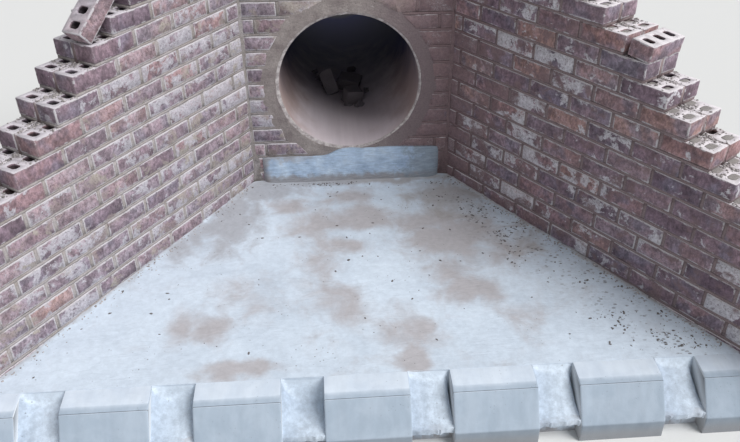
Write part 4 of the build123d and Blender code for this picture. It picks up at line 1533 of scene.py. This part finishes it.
def spout_shape(number):
    """One spout: a chute that eases over the apron's edge at its left and drops steeply at its right, then
    levels out to a ragged lip, cut back below. Across the chute the middle lies lower than the sides."""
    rings, steps = 33, 34
    lip_run, lip_fall, lip_thickness, undercut = 0.19, 0.143, 0.03, 0.046
    start = kerb_start(number) + kerb_length
    share = 1 - (1 - np.linspace(0, 1, rings)[:, None]) ** 1.6
    across = start - 0.002 + share * (kerb_pitch - kerb_length + 0.004)
    run = np.linspace(0, 1, steps)
    steep = 0.88 * (1 - np.exp(-(run / 0.07) ** 1.4)) + 0.12 * run
    eased = run * run * (3 - 2 * run)
    middle = spout_steepness[number - 1]
    lean = middle * (1 - (1 - share) ** 6) + (1 - middle) * share ** 16
    fall = lean * steep[None, :] + (1 - lean) * eased[None, :]
    place = in_threes(across[:, 0], 0.0, 0.0)
    ragged = 0.006 * rough_noise(place, 70, 50 + number)[:, None]
    lip = -apron_length - lip_run + 0.004 + ragged
    back = kerb_back + (lip - kerb_back) * run[None, :]
    dish = 0.003 * ((2 * share - 1) ** 2 - 0.45) * np.clip(run / 0.15, 0, 1)[None, :]
    level = kerb_top - lip_fall * fall + dish
    top = in_threes(across, back, level)
    top[..., 2] += 0.0024 * rough_noise(top, 24, 60) * np.clip(run / 0.1, 0, 1)[None, :]
    drop = lip_thickness + 0.006 * rough_noise(place, 50, 70 + number)[:, None]
    lip_level = top[:, -1:, 2]
    under = np.broadcast_to(-apron_length - lip_run + undercut, across.shape)
    rest_back = np.concatenate([lip - 0.002, lip + 0.002, under, under, 0 * across + kerb_back], 1)
    lip_levels = [lip_level - share_down * drop for share_down in (0.4, 1.0, 1.4)]
    rest_level = np.concatenate([*lip_levels, 0 * across, 0 * across], 1)
    rest = in_threes(across, rest_back, rest_level)
    return tube(np.concatenate([top, rest], 1))


# Points to each rounded corner of a kerb's side, and which corner is the groove
outline_steps = 4
groove_corner = 4


def rounded_outline(corners, radii):
    """A closed outline with each corner rounded: points on a quadratic curve from one radius before the
    corner to one radius after it, pulled towards the corner."""
    corners = np.array(corners, float)
    outline = []
    for number, corner in enumerate(corners):
        before, after = corners[number - 1] - corner, corners[(number + 1) % len(corners)] - corner
        start = corner + before / np.linalg.norm(before) * radii[number]
        end = corner + after / np.linalg.norm(after) * radii[number]
        for share in np.linspace(0, 1, outline_steps):
            outline.append(curve_between(start, corner, end, share))
    return np.array(outline)


def kerb_outline():
    """Side of a kerb: back foot, top, the bevel with a fine groove at its foot, and the face."""
    arris = (kerb_back - 0.084, kerb_top - 0.009)
    bevel = (arris[0] - 0.028, arris[1] - 0.009)
    shoulder = (bevel[0] - 0.09, bevel[1] - 0.142)
    slope = np.array([shoulder[0] - bevel[0], shoulder[1] - bevel[1]])
    slope = slope / np.linalg.norm(slope)
    inward = np.array([-slope[1], slope[0]])
    notch = np.array(bevel) + slope * 0.0025 + inward * 0.004
    groove_end = np.array(bevel) + slope * 0.005
    corners = [
        (kerb_back, 0), (kerb_back, kerb_top), arris, bevel, notch, groove_end, shoulder, (shoulder[0], 0)]
    return rounded_outline(corners, [0.0005, 0.003, 0.005, 0.001, 0.0006, 0.0012, 0.005, 0.0005])


def add_kerbs():
    """Seven kerbs: the rounded side outline carried along each one's length, its ends drawn in, its arrises
    worn by noise, and the outer kerbs cut to the splay of the wings."""
    outline = kerb_outline()
    centre = outline.mean(axis=0)
    inward = centre - outline
    inward = inward / np.linalg.norm(inward, axis=1, keepdims=True)
    rings = 34
    share = np.concatenate([[0, 0.006], np.linspace(0.02, 0.98, rings - 4), [0.994, 1]])[:, None]
    drawn = np.concatenate([[0.0035, 0.0008], np.zeros(rings - 4), [0.0008, 0.0035]])[:, None]
    back, level = outline.T[:, None, :]
    limit = half_back_width - back * splay_run - kerb_gap
    for number in range(1, kerb_count + 1):
        low = kerb_start(number) + kerb_gap
        high = low + kerb_length - 2 * kerb_gap
        start = np.maximum(low, -limit)
        end = np.minimum(high, limit)
        across = start * (1 - share) + end * share
        ring = in_threes(across, back, level)
        wear = drawn + 0.0009 * np.abs(rough_noise(ring, 60, 80 + number))
        ring[..., 1:] += wear[..., None] * inward * (level > 0.01)[..., None]
        # Points of the groove, which carry painted shade.
        crease = np.tile(np.arange(len(outline)) // outline_steps == groove_corner, rings)
        add_piece(f"kerb_block_{number}", *tube(ring), kerb_finish, "kerb_concrete", [f"kerb_{number}"],
                  {"crease": crease}, 35)


# Loose bricks


def add_loose_brick(name, node, centre, along, normal, seed, tone, dust, bed):
    """A single holed brick, its bed face up along the normal and its length along the way given."""
    random = np.random.default_rng(seed)
    across = np.cross(normal, along)
    half = np.array([[brick_length, brick_width, brick_height]]) / 2
    own = holed_bricks(half, random)
    points = centre + own[..., :1] * along + own[..., 1:2] * across + own[..., 2:] * normal
    marks = brick_marks(own, half, own + random.random(3) * grain_shift, tone=tone, dust=dust, bed=bed)
    add_piece(name, points, holed_faces(), brick_finish, "brick", [node], marks)


def leaning_brick():
    """The brick that leans on the left wing, its toe on course 16 and its bed on the nose of course 17."""
    toe_set_back, face_set_back = 0.017, 0.016
    toe_along = course_end("left", 16) - toe_set_back
    lean = math.atan2(course_rise + 0.0006, toe_along - course_end("left", 17))
    toe = walls["left"].place(np.array([toe_along, face_set_back + brick_width / 2, 16 * course_rise]))
    uphill = -walls["left"].along * math.cos(lean) + up * math.sin(lean)
    normal = walls["left"].along * math.sin(lean) + up * math.cos(lean)
    centre = toe + uphill * brick_length / 2 + normal * brick_height / 2
    add_loose_brick("leaning_loose_brick", "leaning_brick", centre, uphill, normal, 91, 0.58, 0.30, 0.55)


def header_brick():
    """The header brick on course 15 of the right wing, its inner edge propped 14 mm up."""
    overhang, face_set_back, tilt_rise = 0.004, 0.003, 0.014
    tilt = math.asin(tilt_rise / brick_width)
    nose = course_end("right", 15)
    middle = nose + (overhang - brick_width / 2) * math.cos(tilt)
    level = 15 * course_rise + (brick_width / 2 - overhang) * math.sin(tilt)
    spot = walls["right"].place(np.array([middle, face_set_back + brick_length / 2, level]))
    normal = walls["right"].along * math.sin(tilt) + up * math.cos(tilt)
    centre = spot + normal * brick_height / 2
    behind = walls["right"].behind
    add_loose_brick("dry_header_brick", "loose_header_brick", centre, behind, normal, 93, 0.6, 0.08, 1.0)


# The headwall and its wings


def add_wing(side, seed):
    """Both leaves of a wing, the mortar between and in them, and what was dropped on its treads."""
    wall = walls[side]
    random = np.random.default_rng(seed)
    for leaf, near in (("front", 0.0), ("back", back_leaf)):
        name, node = f"{side}_wing_{leaf}", f"{side}_wing_{leaf}_leaf"
        bricks = lay_wing(side, near)
        add_bricks(f"{name}_bricks", bricks, wall, seed + len(bricks.plain), [node])
        spots, faces, marks = wing_mortar(side, near, seed + 20)
        add_piece(f"{name}_joints", wall.place(spots), faces, mortar_finish, "mortar", [node], marks)
    name = f"{side}_wing_collar"
    spots, faces = collar_mortar(side, seed + 40)
    add_piece(name, wall.place(spots), faces, seam_finish, "mortar", [f"{name}_joint"])
    spots, faces = hole_plugs(side, random)
    add_piece(f"{side}_wing_hole_mortar", wall.place(spots), faces, hole_finish, "mortar")
    points, sizes = tread_droppings(side, random)
    add_piece(f"{side}_wing_droppings", *lumps(points, sizes, random), crumb_finish, "mortar")


def add_headwall():
    """Both leaves of the headwall with their joints."""
    for leaf, near, radius in (("front", 0.0, brick_ring_radius), ("back", back_leaf, back_ring_radius)):
        name, node = f"headwall_{leaf}_bricks", f"headwall_{leaf}_leaf"
        bricks = lay_headwall(near, radius)
        add_bricks(name, bricks, walls["headwall"], len(bricks.plain), [node], radius)
        spots, faces, marks = headwall_mortar(near, radius, 320)
        add_piece(f"headwall_{leaf}_joints", spots, faces, mortar_finish, "mortar", [node], marks)


def add_grit():
    """Dark grains on the apron, most of them a hand's breadth off the right wing and at the sill's foot."""
    random = np.random.default_rng(404)
    tries = 30000
    back = -random.uniform(0.05, 1.46, tries)
    half_width = half_back_width - back * splay_run - 0.02
    across = random.uniform(-1, 1, tries) * half_width
    clumps = np.clip(0.15 + 1.8 * rough_noise(np.column_stack([across, back, 0 * back]), 8, 77), 0, 1)
    from_wall = half_width - across
    near_wall = np.exp(-((from_wall - 0.17) / 0.15) ** 2) + 0.35 * np.exp(-from_wall / 0.03)
    near_sill = np.exp(-((back + 0.06) / 0.035) ** 2) * (np.abs(across) < 0.5)
    wanted = 0.006 + 0.55 * clumps * (near_wall * np.clip(-back / 0.4 - 0.4, 0, 1) + near_sill)
    kept = random.random(tries) < wanted
    points = np.column_stack([across, back, apron_surface(across, back)])[kept]
    size = 0.0014 + 0.0060 * random.random(len(points)) ** 2.6
    spread = np.column_stack([size * 1.3, size * 0.8, size * 0.4])
    add_piece("apron_grit", *lumps(points, spread, random), grit_finish, "mortar")


def add_rubble():
    """Rubble on the pipe's invert: a leaning slab, two blocks, and smaller pieces round them."""
    random = np.random.default_rng(505)
    invert = pipe_level - bore_radius
    rows = [
        (-0.105, 0.74, invert + 0.085, 0.045, 0.020, 0.080, -28, -16, 14),
        (0.040, 0.60, invert + 0.048, 0.055, 0.045, 0.046, 6, 8, 22),
        (0.030, 0.84, invert + 0.045, 0.075, 0.050, 0.040, 10, 8, -20),
    ]
    for _ in range(22):
        across = random.normal(-0.03, 0.09)
        size = random.uniform(0.007, 0.022)
        floor = pipe_level - math.sqrt(bore_radius ** 2 - across ** 2)
        rows.append((across, random.uniform(0.52, 1.15), floor + size * 0.4, size * 1.4, size, size * 0.8,
                     *random.uniform(-40, 40, 3)))
    points, faces = turned_blocks(rows, random)
    add_piece("pipe_rubble", points, faces, rubble_finish, "mortar", smooth=40)


add_wing("left", 100)
add_wing("right", 200)
add_headwall()
add_pipe()
add_surround()
add_sill()
add_corner_mortar("left", 61)
add_corner_mortar("right", 71)
add_apron()
add_kerbs()
leaning_brick()
header_brick()
add_grit()
add_rubble()

foot_random = np.random.default_rng(606)
for side, count in (("left", 260), ("right", 420)):
    points, sizes = wing_foot_droppings(side, count, foot_random)
    add_piece(f"{side}_foot_droppings", *lumps(points, sizes, foot_random), crumb_finish, "mortar")

# Solids that are seen as they are
for node in ("headwall_collar_joint", "apron_bed", "loose_header_bed"):
    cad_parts[node].material_slots[0].material = mortar_finish

# Floor, light and camera


def plain_floor():
    """Pale floor that stays plain to the camera and keeps the object's shadow."""
    mesh = bpy.data.meshes.new("floor")
    reach = 60.0
    corners = [(-reach, -reach, 0), (reach, -reach, 0), (reach, reach, 0), (-reach, reach, 0)]
    mesh.from_pydata(corners, [], [(0, 1, 2, 3)])
    finish = Finish("floor_finish")
    mesh.materials.append(finish.done((0.72, 0.72, 0.71), 0.95, (finish.noise(finish.here, 8, 2), 0.0001)))
    floor = bpy.data.objects.new("floor", mesh)
    bpy.context.scene.collection.objects.link(floor)
    floor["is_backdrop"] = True


def soft_light():
    """One broad soft sun from high on the right, and an even sky that shows white to the camera."""
    sun = bpy.data.lights.new("soft_sun", "SUN")
    sun.energy = 3.35
    sun.angle = math.radians(45)
    lamp = bpy.data.objects.new("soft_sun", sun)
    towards = np.array([0.60, -0.36, 0.71])
    back = towards / np.linalg.norm(towards)
    side = np.cross(up, back)
    side = side / np.linalg.norm(side)
    lamp.matrix_world = placing(side, np.cross(back, side), back)
    bpy.context.scene.collection.objects.link(lamp)
    world = bpy.data.worlds.new("even_sky")
    bpy.context.scene.world = world
    world.use_nodes = True
    nodes, links = world.node_tree.nodes, world.node_tree.links
    sky = nodes["Background"]
    sky.inputs["Color"].default_value = (0.93, 0.96, 1.0, 1)
    sky.inputs["Strength"].default_value = 0.34
    plain = nodes.new("ShaderNodeBackground")
    plain.inputs["Color"].default_value = (1, 1, 1, 1)
    path = nodes.new("ShaderNodeLightPath")
    seen = path.outputs["Is Camera Ray"]
    for kind in ("Is Glossy Ray", "Is Transmission Ray"):
        either = nodes.new("ShaderNodeMath")
        either.operation = "MAXIMUM"
        links.new(seen, either.inputs[0])
        links.new(path.outputs[kind], either.inputs[1])
        seen = either.outputs[0]
    mixed = nodes.new("ShaderNodeMixShader")
    for socket, output in zip(mixed.inputs, (seen, sky.outputs[0], plain.outputs[0])):
        links.new(output, socket)
    links.new(mixed.outputs[0], nodes["World Output"].inputs["Surface"])


def site_camera():
    """The camera as the photograph was taken: 2.4 m up, 3.6 m in front, looking down into the channel."""
    place = (-0.1373, -3.6374, 2.3899)
    yaw, pitch, roll = (math.radians(angle) for angle in (3.565, 32.198, -0.615))
    forward = np.array([math.sin(yaw) * math.cos(pitch), math.cos(yaw) * math.cos(pitch), -math.sin(pitch)])
    level = np.array([math.cos(yaw), -math.sin(yaw), 0.0])
    upright = np.cross(level, forward)
    right = math.cos(roll) * level + math.sin(roll) * upright
    top = -math.sin(roll) * level + math.cos(roll) * upright
    data = bpy.data.cameras.new("site_camera")
    data.sensor_width = 36.0
    data.lens = 35.09
    data.shift_x = 0.0037
    data.shift_y = -0.0152
    camera = bpy.data.objects.new("site_camera", data)
    camera.matrix_world = Matrix.Translation(place) @ placing(right, top, -forward)
    bpy.context.scene.collection.objects.link(camera)
    bpy.context.scene.camera = camera


plain_floor()
soft_light()
site_camera()
bpy.context.scene.view_settings.view_transform = "Standard"
